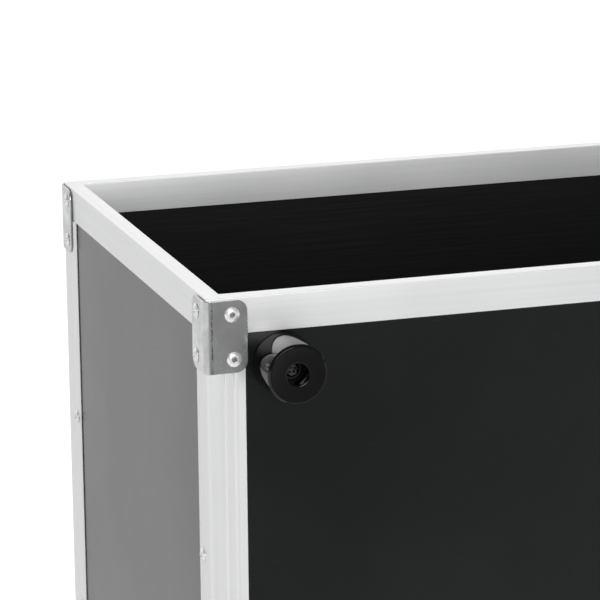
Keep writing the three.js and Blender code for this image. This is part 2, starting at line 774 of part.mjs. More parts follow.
// The wing: half a disc with a thumb hole, its barrel between the cam's lugs.
function latchWing() {
  const outline = new THREE.Shape();
  outline.absarc(0, 0, wingRadius, Math.PI, 2 * Math.PI, false);
  outline.lineTo(lugSpacing + lugThickness, 0);
  outline.lineTo(lugSpacing + lugThickness, -wingBarrelRadius * 2);
  outline.lineTo(-lugSpacing - lugThickness, -wingBarrelRadius * 2);
  outline.lineTo(-lugSpacing - lugThickness, 0);
  const hole = new THREE.Path();
  hole.absarc(0, -thumbHoleBelow, thumbHoleRadius, 0, 2 * Math.PI, true);
  outline.holes.push(hole);
  const half = wingThickness / 2;
  const flap = prism(outline, [-half, half], 10);
  const gap = fitGap * 2;
  const barrelHalf = lugSpacing - lugThickness / 2 - gap;
  const barrel = bar(wingBarrelRadius, [-barrelHalf, barrelHalf], 12).rotate([0, 90, 0]);
  const tongue = block([-barrelHalf, barrelHalf], [-wingBarrelRadius * 2.4, 0], [-half, half]);
  const pin = bar(wingPinRadius, [-lugSpacing - lugThickness / 2, lugSpacing + lugThickness / 2], 10);
  const whole = flap.add(barrel).add(tongue).add(pin.rotate([0, 90, 0]));
  return whole.translate([0, -camBelowCentre, wingAxisZ]);
}

function latch() {
  const group = new THREE.Group();
  group.add(named("latch_dish", latchDish(), zincSteel));
  group.add(named("latch_hook", latchHook(), zincSteel));
  group.add(named("latch_cam", latchCam(), zincSteel));
  group.add(named("latch_wing", latchWing(), zincSteel));
  return stand(group, at(0, -panelOuterY, latchZ), X, Z, minus(Y));
}

// ---------------------------------------------------------------- hinge halves

// In a hinge's own frame X runs along the rim, Y is up the panel and Z points out of it. The knuckle
// axis is at Y = 0, just below the rim's top, where the lid's half would join it.
const leafOverRim = panelInset + fitGap;
const knuckleLevel = leafOverRim + knuckleRadius;

// A leaf that lies on the board, steps out over the rim's flange and rolls into two knuckles.
function hingeLeaf() {
  const half = hingeWidth / 2;
  const stepTop = hingeBelowRim - rimFlange - hingeStepGap;
  const stepBottom = stepTop - hingeStepRun;
  const gapTop = -knuckleRadius - pivotClearance;
  const profile = new THREE.Shape();
  profile.moveTo(-hingeLeafHeight, fitGap);
  profile.lineTo(stepBottom, fitGap);
  profile.lineTo(stepTop, leafOverRim);
  profile.lineTo(0, leafOverRim);
  profile.lineTo(0, leafOverRim + hingeWall);
  profile.lineTo(stepTop, leafOverRim + hingeWall);
  profile.lineTo(stepBottom, fitGap + hingeWall);
  profile.lineTo(-hingeLeafHeight, fitGap + hingeWall);
  const plate = prism(profile, [-half, half]).rotate([90, 0, 90]);
  const inside = half - knuckleLength;
  const between = block([-inside, inside], [gapTop, knuckleRadius], [0, 2 * knuckleLevel]);
  const knuckle = bar(knuckleRadius, [inside, half], 16).rotate([0, 90, 0]).translate([0, 0, knuckleLevel]);
  const bore = bar(hingePinRadius + pivotClearance, [-hingeWidth, hingeWidth], 12).rotate([0, 90, 0]);
  const knuckles = knuckle.add(knuckle.mirror([1, 0, 0]));
  return plate.subtract(between).add(knuckles).subtract(bore.translate([0, 0, knuckleLevel]));
}

function hingePin() {
  const half = hingeWidth / 2;
  const headStart = half + fitGap;
  const shank = bar(hingePinRadius, [-half - fitGap, headStart + hingePinHeadLength / 2], 12);
  const head = bar(hingePinHead, [headStart, headStart + hingePinHeadLength], 12);
  return shank.add(head).rotate([0, 90, 0]).translate([0, 0, knuckleLevel]);
}

function hinge(side) {
  const group = new THREE.Group();
  group.add(named(`hinge_leaf_${side}`, hingeLeaf(), zincSteel));
  group.add(named(`hinge_pin_${side}`, hingePin(), brightSteel));
  const x = side === "left" ? -hingeX : hingeX;
  return stand(group, at(x, panelOuterY, caseHeight - hingeBelowRim), minus(X), Z, Y);
}

// ---------------------------------------------------------------- the whole case

const equipmentCase = new THREE.Group();
equipmentCase.name = "equipment_case";
equipmentCase.add(frontOrBackPanel("panel_front", -1));
equipmentCase.add(frontOrBackPanel("panel_back", 1));
equipmentCase.add(sidePanel("panel_left", -1));
equipmentCase.add(sidePanel("panel_right", 1));
equipmentCase.add(basePanel());
equipmentCase.add(rimSide("rim_front", caseWidth, caseDepth));
equipmentCase.add(rimSide("rim_back", caseWidth, caseDepth));
equipmentCase.add(rimSide("rim_left", caseDepth, caseWidth));
equipmentCase.add(rimSide("rim_right", caseDepth, caseWidth));
equipmentCase.add(...posts());
equipmentCase.add(...baseEdges());
equipmentCase.add(...brackets());
equipmentCase.add(...ballCorners());
equipmentCase.add(...feet());
equipmentCase.add(handle("left"), handle("right"));
equipmentCase.add(latch());
equipmentCase.add(hinge("left"), hinge("right"));

// The ball corners' flats are the lowest points, so the case is raised to stand on Z = 0. The feet
// reach furthest forward and the ball corners furthest back, and Y = 0 is midway between them.
const ballProud = ballRadius - ballInset - ballFlat;
const frontReach = panelOuterY + footSeat + footHeight;
const backReach = caseDepth / 2 + angleProud + ballProud;
equipmentCase.position.set(0, (frontReach - backReach) / 2, ballProud);

export default equipmentCase;
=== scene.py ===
# %% [markdown]
# # A hard equipment case, open at the top
# The case is built the way a case maker builds one: black laminated plywood boards, aluminium
# extrusions over every edge, riveted steel corners, tall rubber feet, and pressed steel dishes that
# hold the handles and latches. The frame below brings in the engineered solids, which already have
# the right size and place. This lesson gives them their surfaces, and replaces the ones whose edges,
# bends and curves need a finer mesh.

# %% Load the frame
import math

import bmesh
import bpy
from mathutils import Matrix, Vector


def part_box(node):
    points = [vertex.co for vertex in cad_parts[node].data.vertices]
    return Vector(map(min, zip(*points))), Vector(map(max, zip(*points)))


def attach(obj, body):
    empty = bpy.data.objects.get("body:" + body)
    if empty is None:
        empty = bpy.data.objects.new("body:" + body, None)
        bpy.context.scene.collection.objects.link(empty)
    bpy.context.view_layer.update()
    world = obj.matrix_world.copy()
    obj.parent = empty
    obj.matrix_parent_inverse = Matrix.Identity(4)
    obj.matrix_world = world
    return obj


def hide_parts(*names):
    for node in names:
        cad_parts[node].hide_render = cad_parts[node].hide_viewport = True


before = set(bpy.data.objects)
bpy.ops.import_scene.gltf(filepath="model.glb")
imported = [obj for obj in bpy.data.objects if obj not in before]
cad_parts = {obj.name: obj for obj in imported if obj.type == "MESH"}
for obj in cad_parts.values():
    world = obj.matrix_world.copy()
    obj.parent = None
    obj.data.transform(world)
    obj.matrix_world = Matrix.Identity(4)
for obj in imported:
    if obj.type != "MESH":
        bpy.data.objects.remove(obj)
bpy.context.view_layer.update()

MM = 0.001
SIDES = ("left", "right")
FACES = ("front", "back")
CORNERS = ("front_left", "front_right", "back_right", "back_left")
FEET = ("upper_left", "lower_left", "upper_right", "lower_right")
X, Y, Z = Vector((1, 0, 0)), Vector((0, 1, 0)), Vector((0, 0, 1))

# %% [markdown]
# Every later measure comes from a few boxes: the rim gives the case's outer faces and its top, the
# panels give the board faces, and the brackets and dishes give their own corners. The brackets, ball
# corners and dishes are one gauge of sheet, and they clear what they cover by a small fitting gap.

# %% Measure the case
rim_low, rim_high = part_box("rim_front")
case_left, case_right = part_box("rim_left")[0].x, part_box("rim_right")[1].x
case_front, case_back = rim_low.y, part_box("rim_back")[1].y
rim_top, rim_bottom = rim_high.z, rim_low.z
rim_width = rim_high.y - rim_low.y
board_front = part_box("panel_front")[0].y
board_back_inner, board_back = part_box("panel_back")[0].y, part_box("panel_back")[1].y
board_left, board_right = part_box("panel_left")[0].x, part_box("panel_right")[1].x
middle_y = (case_front + case_back) / 2
fit_gap, plate_wall, bracket_bend = 0.2 * MM, 1.2 * MM, 4.8 * MM
sheet_skin = fit_gap + plate_wall
print("over the rim:", round(case_right - case_left, 4), "by", round(case_back - case_front, 4))

# %% [markdown]
# ## Camera
# The view is a long-lens close-up of the front left rim corner, from a little to the left and above.
# A long lens keeps the far rim nearly as large as the near one, which is why the case looks flat and
# calm. The camera is placed from that corner: how far away it is, and where in the frame it falls.

# %% Camera
camera_azimuth = math.radians(-17.65)
camera_elevation = math.radians(14.17)
camera_roll = math.radians(-0.56)
camera_distance = 1.906
camera_lens = 189.08
camera_sensor = 36.0
corner_across = -0.1568
corner_up = 0.0004


def aim_camera():
    """A camera that sees the front left rim corner at its place in the frame."""
    back = Vector((
        math.sin(camera_azimuth) * math.cos(camera_elevation),
        -math.cos(camera_azimuth) * math.cos(camera_elevation),
        math.sin(camera_elevation),
    ))
    level = Vector((math.cos(camera_azimuth), math.sin(camera_azimuth), 0))
    upright = back.cross(level)
    right = level * math.cos(camera_roll) + upright * math.sin(camera_roll)
    up = upright * math.cos(camera_roll) - level * math.sin(camera_roll)
    frame_width = camera_distance * camera_sensor / camera_lens
    corner = Vector((case_left, case_front, rim_top))
    eye = corner + back * camera_distance
    eye -= right * corner_across * frame_width + up * corner_up * frame_width
    data = bpy.data.cameras.new("camera")
    data.lens = camera_lens
    data.sensor_width = camera_sensor
    data.clip_start = 0.05
    data.clip_end = 60
    camera = bpy.data.objects.new("camera", data)
    rotation = Matrix((right, up, back)).transposed().to_4x4()
    camera.matrix_world = Matrix.Translation(eye) @ rotation
    bpy.context.scene.collection.objects.link(camera)
    bpy.context.scene.camera = camera
    return camera


camera = aim_camera()
print("camera at", [round(v, 3) for v in camera.matrix_world.translation])

# %% [markdown]
# ## Studio
# The case stands on a plain white floor in a white room. Black laminate and satin metal have almost
# no colour of their own, so what they show is the room. The floor is bright, which turns the left
# panel grey at its low angle and lights the bent steel up to its fold, but dim straight in front,
# which keeps the front panel black. Above, the room is bright only behind the case, for the rim's
# top. A soft key stands in front and a wide, weak light hangs above. The world is that room, as
# brightness by direction.

# %% Studio
bpy.context.scene.view_settings.view_transform = "Standard"
floor_size = 30.0
floor_glow = 0.8
front_floor, bright_floor, deep_floor = 0.27, 1.15, 1.0
dim_sky, bright_sky = 0.15, 1.5
key_place, key_size, key_power = (-0.5, -3.4, 1.7), 1.8, 82
top_place, top_size, top_power = (0.1, 0.4, 3.2), 2.2, 21


def add_node(tree, kind, **settings):
    """A new node with its settings, and its inputs set by name where the name is an input's."""
    node = tree.nodes.new(kind)
    for name, value in settings.items():
        if name == "inputs":
            for socket, number in value.items():
                node.inputs[socket].default_value = number
        else:
            setattr(node, name, value)
    return node


def build_floor():
    """A white floor with a soft glow of its own, so that it stays white far behind the case."""
    mesh = bpy.data.meshes.new("floor")
    half = floor_size / 2
    corners = [(-half, -half, 0), (half, -half, 0), (half, half, 0), (-half, half, 0)]
    mesh.from_pydata(corners, [], [(0, 1, 2, 3)])
    floor = bpy.data.objects.new("floor", mesh)
    bpy.context.scene.collection.objects.link(floor)
    material = bpy.data.materials.new("white_floor")
    material.use_nodes = True
    shader = material.node_tree.nodes["Principled BSDF"]
    shader.inputs["Base Color"].default_value = (0.85, 0.85, 0.85, 1)
    shader.inputs["Roughness"].default_value = 0.9
    shader.inputs["Emission Color"].default_value = (1, 1, 1, 1)
    shader.inputs["Emission Strength"].default_value = floor_glow
    mesh.materials.append(material)
    floor.visible_glossy = False
    floor.visible_diffuse = False
    return floor


def build_room():
    """A room seen by direction: floor below, sky above, each with a dim side and a bright side."""
    world = bpy.data.worlds.new("studio")
    bpy.context.scene.world = world
    world.use_nodes = True
    tree = world.node_tree
    tree.nodes.clear()
    link = tree.links.new
    where = add_node(tree, "ShaderNodeTexCoord")
    axes = add_node(tree, "ShaderNodeSeparateXYZ")
    link(where.outputs["Generated"], axes.inputs[0])

    def blend(axis, low, high, low_value, high_value):
        """A level that goes from one value to another as the direction tilts along an axis."""
        step = add_node(tree, "ShaderNodeMapRange", interpolation_type="SMOOTHSTEP")
        ends = (low, high, low_value, high_value)
        for socket, end in zip(("From Min", "From Max", "To Min", "To Max"), ends):
            if isinstance(end, float):
                step.inputs[socket].default_value = end
            else:
                link(end, step.inputs[socket])
        link(axes.outputs[axis], step.inputs["Value"])
        return step.outputs[0]

    floor_side = blend("Y", -0.95, -0.72, front_floor, bright_floor)
    floor_level = blend("Z", -0.85, -0.40, deep_floor, floor_side)
    sky_level = blend("Y", 0.25, 0.80, dim_sky, bright_sky)
    level = blend("Z", -0.06, 0.04, floor_level, sky_level)
    room = add_node(tree, "ShaderNodeBackground")
    link(level, room.inputs["Strength"])
    plain = add_node(tree, "ShaderNodeBackground", inputs={"Strength": 1.0})
    plain.inputs["Color"].default_value = (1, 1, 1, 1)
    ray = add_node(tree, "ShaderNodeLightPath")
    mix = add_node(tree, "ShaderNodeMixShader")
    output = add_node(tree, "ShaderNodeOutputWorld")
    link(ray.outputs["Is Camera Ray"], mix.inputs[0])
    link(room.outputs[0], mix.inputs[1])
    link(plain.outputs[0], mix.inputs[2])
    link(mix.outputs[0], output.inputs["Surface"])


def softbox(name, place, target, size, power):
    """A square area light at a place, turned to face a target."""
    data = bpy.data.lights.new(name, "AREA")
    data.shape = "SQUARE"
    data.size = size
    data.energy = power
    light = bpy.data.objects.new(name, data)
    toward = Vector(target) - Vector(place)
    turn = toward.to_track_quat("-Z", "Y").to_matrix().to_4x4()
    light.matrix_world = Matrix.Translation(place) @ turn
    bpy.context.scene.collection.objects.link(light)
    return light


floor = build_floor()
build_room()
case_heart = (0, middle_y, rim_top * 0.6)
softbox("key", key_place, case_heart, key_size, key_power)
softbox("top", top_place, case_heart, top_size, top_power)

# %% [markdown]
# ## Finishes
# A finish is a small set of questions: what colour, how sharp are its reflections, and what breaks
# them up. Each material answers them with noise at the real scale, read from the piece's own
# coordinates in metres, so a scale of 100 gives marks of about a centimetre.

# %% Material helpers


class Finish:
    """A material being built: its tree, its Principled shader and short calls for common nodes."""

    def __init__(self, name, **shader):
        self.material = bpy.data.materials.new(name)
        self.material.use_nodes = True
        self.tree = self.material.node_tree
        self.shader = self.tree.nodes["Principled BSDF"]
        for socket, value in shader.items():
            self.shader.inputs[socket.replace("_", " ")].default_value = value
        self.place = add_node(self.tree, "ShaderNodeTexCoord").outputs["Object"]

    def link(self, source, target):
        self.tree.links.new(source, target)
        return target

    def stretched(self, scale):
        """The piece's coordinates, scaled by a different number along each axis."""
        mapping = add_node(self.tree, "ShaderNodeMapping")
        mapping.inputs["Scale"].default_value = scale
        self.link(self.place, mapping.inputs["Vector"])
        return mapping.outputs["Vector"]

    def noise(self, scale, detail=3.0, roughness=0.5, along=None):
        inputs = {"Scale": scale, "Detail": detail, "Roughness": roughness}
        node = add_node(self.tree, "ShaderNodeTexNoise", inputs=inputs)
        self.link(along or self.place, node.inputs["Vector"])
        return node.outputs[0]

    def ramp(self, source, low, high, low_value, high_value, smooth=True):
        """The source between low and high becomes a number between the two values."""
        node = add_node(self.tree, "ShaderNodeMapRange")
        if smooth:
            node.interpolation_type = "SMOOTHSTEP"
        for socket, number in zip(node.inputs[1:5], (low, high, low_value, high_value)):
            socket.default_value = number
        self.link(source, node.inputs[0])
        return node.outputs[0]

    def math(self, operation, a, b):
        node = add_node(self.tree, "ShaderNodeMath", operation=operation)
        for socket, value in zip(node.inputs, (a, b)):
            if isinstance(value, (int, float)):
                socket.default_value = value
            else:
                self.link(value, socket)
        return node.outputs[0]

    def mix(self, factor, a, b):
        """A colour between two: each is a tuple or another node's output."""
        node = add_node(self.tree, "ShaderNodeMix", data_type="RGBA")
        self.link(factor, node.inputs[0])
        for socket, value in zip((node.inputs[6], node.inputs[7]), (a, b)):
            if isinstance(value, tuple):
                socket.default_value = (*value, 1)
            else:
                self.link(value, socket)
        return node.outputs[2]

    def bump(self, height, distance, strength=1.0, below=None):
        """Relief from a height, laid over the relief below it."""
        node = add_node(self.tree, "ShaderNodeBump", inputs={"Strength": strength, "Distance": distance})
        self.link(height, node.inputs["Height"])
        if below is not None:
            self.link(below, node.inputs["Normal"])
        return node.outputs[0]

    def colour(self, source):
        self.link(source, self.shader.inputs["Base Color"])

    def rough(self, source):
        self.link(source, self.shader.inputs["Roughness"])

    def normal(self, source):
        self.link(source, self.shader.inputs["Normal"])


def grey(level):
    return (level, level, level)


print("finish helper ready")

# %% [markdown]
# The boards have two faces. Outside is a hard phenolic laminate: black, smooth, with a faint orange
# peel, dust and a few hairline scratches. Inside is black-stained plywood with thin grain lines and
# no gloss. Both are one board, so one material holds both and picks by where the point lies: inside
# the inner walls is plywood, and everything else is laminate.

# %% Board material
inner_skin = 0.4 * MM
inner_half_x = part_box("panel_right")[0].x + inner_skin
inner_half_y = board_back_inner - middle_y + inner_skin


def board_material():
    finish = Finish("laminated_board", IOR=1.5)
    axes = add_node(finish.tree, "ShaderNodeSeparateXYZ")
    finish.link(finish.place, axes.inputs[0])
    far_x = finish.math("ABSOLUTE", axes.outputs["X"], 0.0)
    far_y = finish.math("ABSOLUTE", finish.math("SUBTRACT", axes.outputs["Y"], middle_y), 0.0)
    within_x = finish.math("LESS_THAN", far_x, inner_half_x)
    within_y = finish.math("LESS_THAN", far_y, inner_half_y)
    inside = finish.math("MULTIPLY", within_x, within_y)

    peel = finish.noise(900.0, detail=2.0)
    cloud = finish.noise(9.0, detail=4.0)
    scratch = finish.noise(16.0, detail=6.0, along=finish.stretched((6.0, 6.0, 90.0)))
    hairline = finish.ramp(scratch, 0.66, 0.72, 0.0, 1.0)
    dust = finish.ramp(finish.noise(2600.0, detail=0.0), 0.76, 0.82, 0.0, 1.0)
    shade = finish.ramp(cloud, 0.3, 0.7, 0.0, 1.0)
    laminate = finish.mix(shade, (0.0022, 0.0036, 0.0031), (0.0038, 0.0054, 0.0047))
    laminate = finish.mix(finish.math("MULTIPLY", dust, 0.25), laminate, grey(0.05))

    streak = finish.noise(5.0, detail=8.0, roughness=0.65, along=finish.stretched((2.2, 2.2, 130.0)))
    pores = finish.noise(30.0, detail=3.0, along=finish.stretched((4.0, 4.0, 150.0)))
    grain = finish.ramp(streak, 0.42, 0.7, 0.0, 1.0)
    plywood = finish.mix(grain, (0.0030, 0.0034, 0.0036), (0.0062, 0.0066, 0.0064))
    flecks = finish.ramp(pores, 0.68, 0.80, 0.0, 0.4)
    plywood = finish.mix(flecks, plywood, (0.018, 0.017, 0.015))

    finish.colour(finish.mix(inside, laminate, plywood))
    gloss = finish.ramp(cloud, 0.25, 0.75, 0.20, 0.25)
    gloss = finish.math("ADD", gloss, finish.math("MULTIPLY", hairline, 0.08))
    matt = finish.ramp(streak, 0.3, 0.7, 0.75, 0.6)
    both = add_node(finish.tree, "ShaderNodeMix")
    finish.link(inside, both.inputs[0])
    finish.link(gloss, both.inputs[2])
    finish.link(matt, both.inputs[3])
    finish.rough(both.outputs[0])
    outer_bump = finish.bump(peel, 0.012 * MM, 0.5)
    height = finish.math("MULTIPLY", finish.math("ADD", grain, flecks), inside)
    finish.normal(finish.bump(height, 0.06 * MM, 0.5, below=outer_bump))
    sheen = finish.ramp(inside, 0.0, 1.0, 0.5, 0.22, smooth=False)
    finish.link(sheen, finish.shader.inputs["Specular IOR Level"])
    return finish.material


board = board_material()
for name in ("panel_front", "panel_back", "panel_left", "panel_right", "panel_base"):
    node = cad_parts[name]
    node.data.materials.clear()
    node.data.materials.append(board)
print("boards finished")

# %% [markdown]
# The extrusions are satin anodised aluminium. Drawing the metal through its die leaves very fine
# lines along its length, so each direction of bar has its own copy of the finish, stretched along
# that bar. Handling leaves a few short dark nicks.

# %% Aluminium material


def aluminium_material(name, along):
    stretch = tuple(3.0 if axis == along else 420.0 for axis in "XYZ")
    finish = Finish(f"anodised_aluminium_{name}", Metallic=0.5, IOR=1.45)
    drawn = finish.noise(1.0, detail=4.0, roughness=0.6, along=finish.stretched(stretch))
    cloud = finish.noise(12.0, detail=3.0)
    short = tuple(1.0 if axis == along else 7.0 for axis in "XYZ")
    nick = finish.noise(55.0, detail=5.0, along=finish.stretched(short))
    worn = finish.ramp(nick, 0.76, 0.80, 0.0, 0.7)
    metal = finish.mix(finish.ramp(drawn, 0.3, 0.7, 0.0, 1.0), (0.865, 0.87, 0.87), (0.90, 0.905, 0.905))
    metal = finish.mix(worn, metal, (0.50, 0.49, 0.47))
    finish.colour(metal)
    finish.rough(finish.ramp(cloud, 0.25, 0.75, 0.36, 0.42))
    lines = finish.bump(drawn, 0.004 * MM, 0.35)
    finish.normal(finish.bump(worn, -0.04 * MM, 0.5, below=lines))
    return finish.material


aluminium = {axis: aluminium_material(axis.lower(), axis) for axis in "XYZ"}
print("aluminium finishes:", len(aluminium))

# %% [markdown]
# Corners, dishes and latch parts are zinc-plated pressed steel. Fresh zinc is a cool grey with soft
# cloudy patches where the plating took differently and small dark pits. A thin line of dark specks
# where each bracket's bend meets its front leg is painted shade. The bright steel, the rivets, their
# mandrels, the washers and the screws need only one fine cloud each, so one function makes all five
# metals.

# %% Zinc, bright steel and rubber materials


def painted_fold_shade(finish):
    """Painted shade: a thin line of dark specks where each bracket's bend meets its front leg."""
    low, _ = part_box("bracket_front_left")
    fold = -low.x - bracket_bend
    axes = add_node(finish.tree, "ShaderNodeSeparateXYZ")
    finish.link(finish.place, axes.inputs[0])
    far_x = finish.math("ABSOLUTE", axes.outputs["X"], 0.0)
    off = finish.math("ABSOLUTE", finish.math("SUBTRACT", far_x, fold), 0.0)
    near = finish.ramp(off, 0.25 * MM, 0.75 * MM, 1.0, 0.0)
    high = finish.math("GREATER_THAN", axes.outputs["Z"], low.z)
    specks = finish.ramp(finish.noise(1300.0, detail=1.0), 0.44, 0.56, 0.0, 0.85)
    return finish.math("MULTIPLY", finish.math("MULTIPLY", near, high), specks)


def zinc_material():
    finish = Finish("zinc_plated_steel", Metallic=1.0)
    cloud = finish.noise(95.0, detail=4.0, roughness=0.55)
    patch = finish.noise(28.0, detail=2.0)
    pit = finish.ramp(finish.noise(1100.0, detail=1.0), 0.70, 0.78, 0.0, 1.0)
    metal = finish.mix(finish.ramp(cloud, 0.32, 0.68, 0.0, 1.0), (0.54, 0.545, 0.55), (0.68, 0.685, 0.69))
    metal = finish.mix(finish.ramp(patch, 0.52, 0.68, 0.0, 0.45), metal, (0.43, 0.435, 0.44))
    metal = finish.mix(finish.math("MULTIPLY", pit, 0.5), metal, grey(0.16))
    # painted shade: a line of dark specks along each bracket's bend, at the edge of its front leg
    metal = finish.mix(painted_fold_shade(finish), metal, grey(0.07))
    finish.colour(metal)
    finish.rough(finish.ramp(cloud, 0.3, 0.7, 0.30, 0.20))
    finish.normal(finish.bump(finish.math("ADD", cloud, pit), 0.03 * MM, 0.5))
    return finish.material


def clouded_metal(name, scale, colours, rough, relief, band=0.3, **shader):
    """Metal whose colour, sharpness and relief all follow one fine cloud."""
    finish = Finish(name, **shader)
    cloud = finish.noise(scale, detail=3.0)
    finish.colour(finish.mix(finish.ramp(cloud, band, 1 - band, 0.0, 1.0), *colours))
    finish.rough(finish.ramp(cloud, 0.3, 0.7, *rough))
    depth, strength = relief
    finish.normal(finish.bump(cloud, depth * MM, strength))
    return finish.material


def rubber_material(name, low_rough, high_rough, level):
    finish = Finish(name, IOR=1.45)
    cloud = finish.noise(60.0, detail=3.0)
    speck = finish.ramp(finish.noise(1500.0, detail=1.0), 0.68, 0.78, 0.0, 1.0)
    skin = finish.mix(finish.ramp(cloud, 0.3, 0.7, 0.0, 1.0), grey(level), grey(level * 1.5))
    skin = finish.mix(finish.math("MULTIPLY", speck, 0.12), skin, grey(0.04))
    finish.colour(skin)
    finish.rough(finish.ramp(cloud, 0.3, 0.7, low_rough, high_rough))
    finish.normal(finish.bump(finish.noise(420.0, detail=2.0), 0.03 * MM, 0.35))
    return finish.material


zinc = zinc_material()
bright = clouded_metal(
    "bright_steel", 700.0, (grey(0.72), (0.90, 0.90, 0.89)), (0.22, 0.36), (0.03, 0.5), Metallic=1.0)
rivet_skin = clouded_metal(
    "rivet_aluminium", 500.0, (grey(0.86), (0.96, 0.96, 0.955)), (0.24, 0.32), (0.01, 0.3), Metallic=0.5)
dark_steel = clouded_metal(
    "blackened_steel", 900.0, (grey(0.05), grey(0.11)), (0.2, 0.34), (0.02, 0.4), band=0.35, Metallic=1.0)
black_washer = clouded_metal(
    "blacked_washer", 600.0, (grey(0.008), grey(0.016)), (0.6, 0.75), (0.02, 0.4), Metallic=0.3, IOR=1.4)
mandrel = clouded_metal(
    "broken_mandrel", 1500.0, (grey(0.16), grey(0.34)), (0.3, 0.5), (0.03, 0.6), band=0.35, Metallic=0.9)
foot_rubber = rubber_material("moulded_rubber", 0.07, 0.12, 0.0030)
grip_rubber = rubber_material("grip_rubber", 0.55, 0.7, 0.011)
print("metal and rubber finishes ready")

# %% [markdown]
# ## Shape helpers
# Each piece is first made in its own plain frame, then its vertices are moved to their place, so the
# object itself stays at the origin. Round corners in an outline are worked out, not listed: a corner
# is a point and a radius.

# %% Shape helpers


def outline(corners, steps=6):
    """A closed outline from (x, y, radius) corners, with each radius drawn as an arc."""
    points = []
    for i, (x, y, radius) in enumerate(corners):
        here = Vector((x, y))
        before = (Vector(corners[i - 1][:2]) - here).normalized()
        after = (Vector(corners[(i + 1) % len(corners)][:2]) - here).normalized()
        if radius <= 0:
            points.append(here)
            continue
        half = math.acos(max(-1, min(1, before.dot(after)))) / 2
        reach = radius / math.tan(half)
        centre = here + (before + after).normalized() * radius / math.sin(half)
        start, end = here + before * reach - centre, here + after * reach - centre
        turn = start.angle_signed(end)
        for k in range(steps + 1):
            angle = -turn * k / steps
            c, s = math.cos(angle), math.sin(angle)
            points.append(centre + Vector((start.x * c - start.y * s, start.x * s + start.y * c)))
    return points


def bridge(rings, close_ends=True, close_loop=False):
    """A mesh through rings of points that all have the same count."""
    bm = bmesh.new()
    loops = [[bm.verts.new(p) for p in ring] for ring in rings]
    if close_loop:
        loops.append(loops[0])
    for a, b in zip(loops, loops[1:]):
        for i in range(len(a)):
            j = (i + 1) % len(a)
            bm.faces.new((a[i], a[j], b[j], b[i]))
    if close_ends and not close_loop:
        bm.faces.new(reversed(loops[0]))
        bm.faces.new(loops[-1])
    return bm


def lathe(profile, segments=72):
    """A solid turned about Z from a closed profile of (radius, height), or one that ends on the axis."""
    closed = profile[0][0] > 0
    rings = []
    for radius, height in profile:
        angles = [2 * math.pi * k / segments for k in range(segments)]
        rings.append([Vector((radius * math.cos(a), radius * math.sin(a), height)) for a in angles])
    bm = bridge(rings, close_ends=False, close_loop=closed)
    bmesh.ops.remove_doubles(bm, verts=bm.verts, dist=1e-7)
    return bm


def tube(path, radius, sides=20):
    """A round bar along a list of points, with flat ends."""
    rings = []
    side = None
    for i, point in enumerate(path):
        ahead = (path[min(i + 1, len(path) - 1)] - path[max(i - 1, 0)]).normalized()
        if side is None:
            side = ahead.orthogonal().normalized()
        side = (side - ahead * side.dot(ahead)).normalized()
        other = ahead.cross(side)
        angles = [2 * math.pi * k / sides for k in range(sides)]
        rings.append([point + (side * math.cos(a) + other * math.sin(a)) * radius for a in angles])
    return bridge(rings)


def frame_at(origin, along_x, along_y, along_z):
    """The matrix that takes a piece from its own plain frame to its place on the case."""
    turn = Matrix((along_x, along_y, along_z)).transposed().to_4x4()
    return Matrix.Translation(origin) @ turn


def join(*parts):
    """Several closed shapes in one mesh."""
    bm = bmesh.new()
    for part in parts:
        mesh = bpy.data.meshes.new("part")
        part.to_mesh(mesh)
        bm.from_mesh(mesh)
        bpy.data.meshes.remove(mesh)
        part.free()
    return bm


def piece(
    name, bm, matrix, material, body="root", stands_for=(), smooth_angle=35.0, edge=None, thick=None
):
    """Finishes a shape as a piece of the case: its mesh, wall, edge radius, finish and body."""
    bmesh.ops.transform(bm, matrix=matrix, verts=bm.verts)
    bmesh.ops.recalc_face_normals(bm, faces=bm.faces)
    mesh = bpy.data.meshes.new(name)
    bm.to_mesh(mesh)
    bm.free()
    obj = bpy.data.objects.new(name, mesh)
    bpy.context.scene.collection.objects.link(obj)
    mesh.materials.append(material)
    if thick:
        wall = obj.modifiers.new("wall", "SOLIDIFY")
        wall.thickness = thick
        wall.offset = 0
        wall.use_even_offset = True
    if edge:
        bevel = obj.modifiers.new("edge", "BEVEL")
        bevel.width = edge
        bevel.segments = 2
        bevel.limit_method = "ANGLE"
        bevel.angle_limit = math.radians(40)
    mesh.shade_smooth()
    bpy.context.view_layer.objects.active = obj
    obj.select_set(True)
    bpy.ops.object.shade_smooth_by_angle(angle=math.radians(smooth_angle), keep_sharp_edges=True)
    obj.select_set(False)
    if edge:
        flats = obj.modifiers.new("flats", "WEIGHTED_NORMAL")
        flats.keep_sharp = True
    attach(obj, body)
    if stands_for:
        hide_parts(*stands_for)
    return obj


def pressed(name, bm, matrix, node, edge):
    """A piece of zinc-plated sheet, from its middle skin. It stays a hair thinner than its solid."""
    wall = plate_wall - 0.02 * MM
    return piece(name, bm, matrix, zinc, stands_for=[node], edge=edge, thick=wall)


def corner_directions(corner):
    """The two ways along the walls from a corner of the case, in the order that keeps Z up."""
    return {
        "front_left": (X, Y),
        "front_right": (Y, -X),
        "back_right": (-X, -Y),
        "back_left": (-Y, X),
    }[corner]


def corner_signs(corner):
    """Which way is outwards along X and along Y at a corner."""
    return (-1 if "left" in corner else 1), (-1 if "front" in corner else 1)


def outer_corner(node, corner):
    """The lowest point of a node at the case's outer vertical edge."""
    low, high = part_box(node)
    side, front = corner_signs(corner)
    return Vector((low.x if side < 0 else high.x, low.y if front < 0 else high.y, low.z))


print("shape helpers ready")

# %% [markdown]
# ## Rim channel
# The rim is a U-channel pushed over the board's edge, mitred where two sides meet. It could be a
# curve with a profile, but mitred ends come for free here: a point that lies further in from the
# outer face is pulled back by the same amount at each end, which is exactly a 45 degree cut.

# %% Rim
rim_wall = 1.05 * MM
mitre_gap = 0.06 * MM


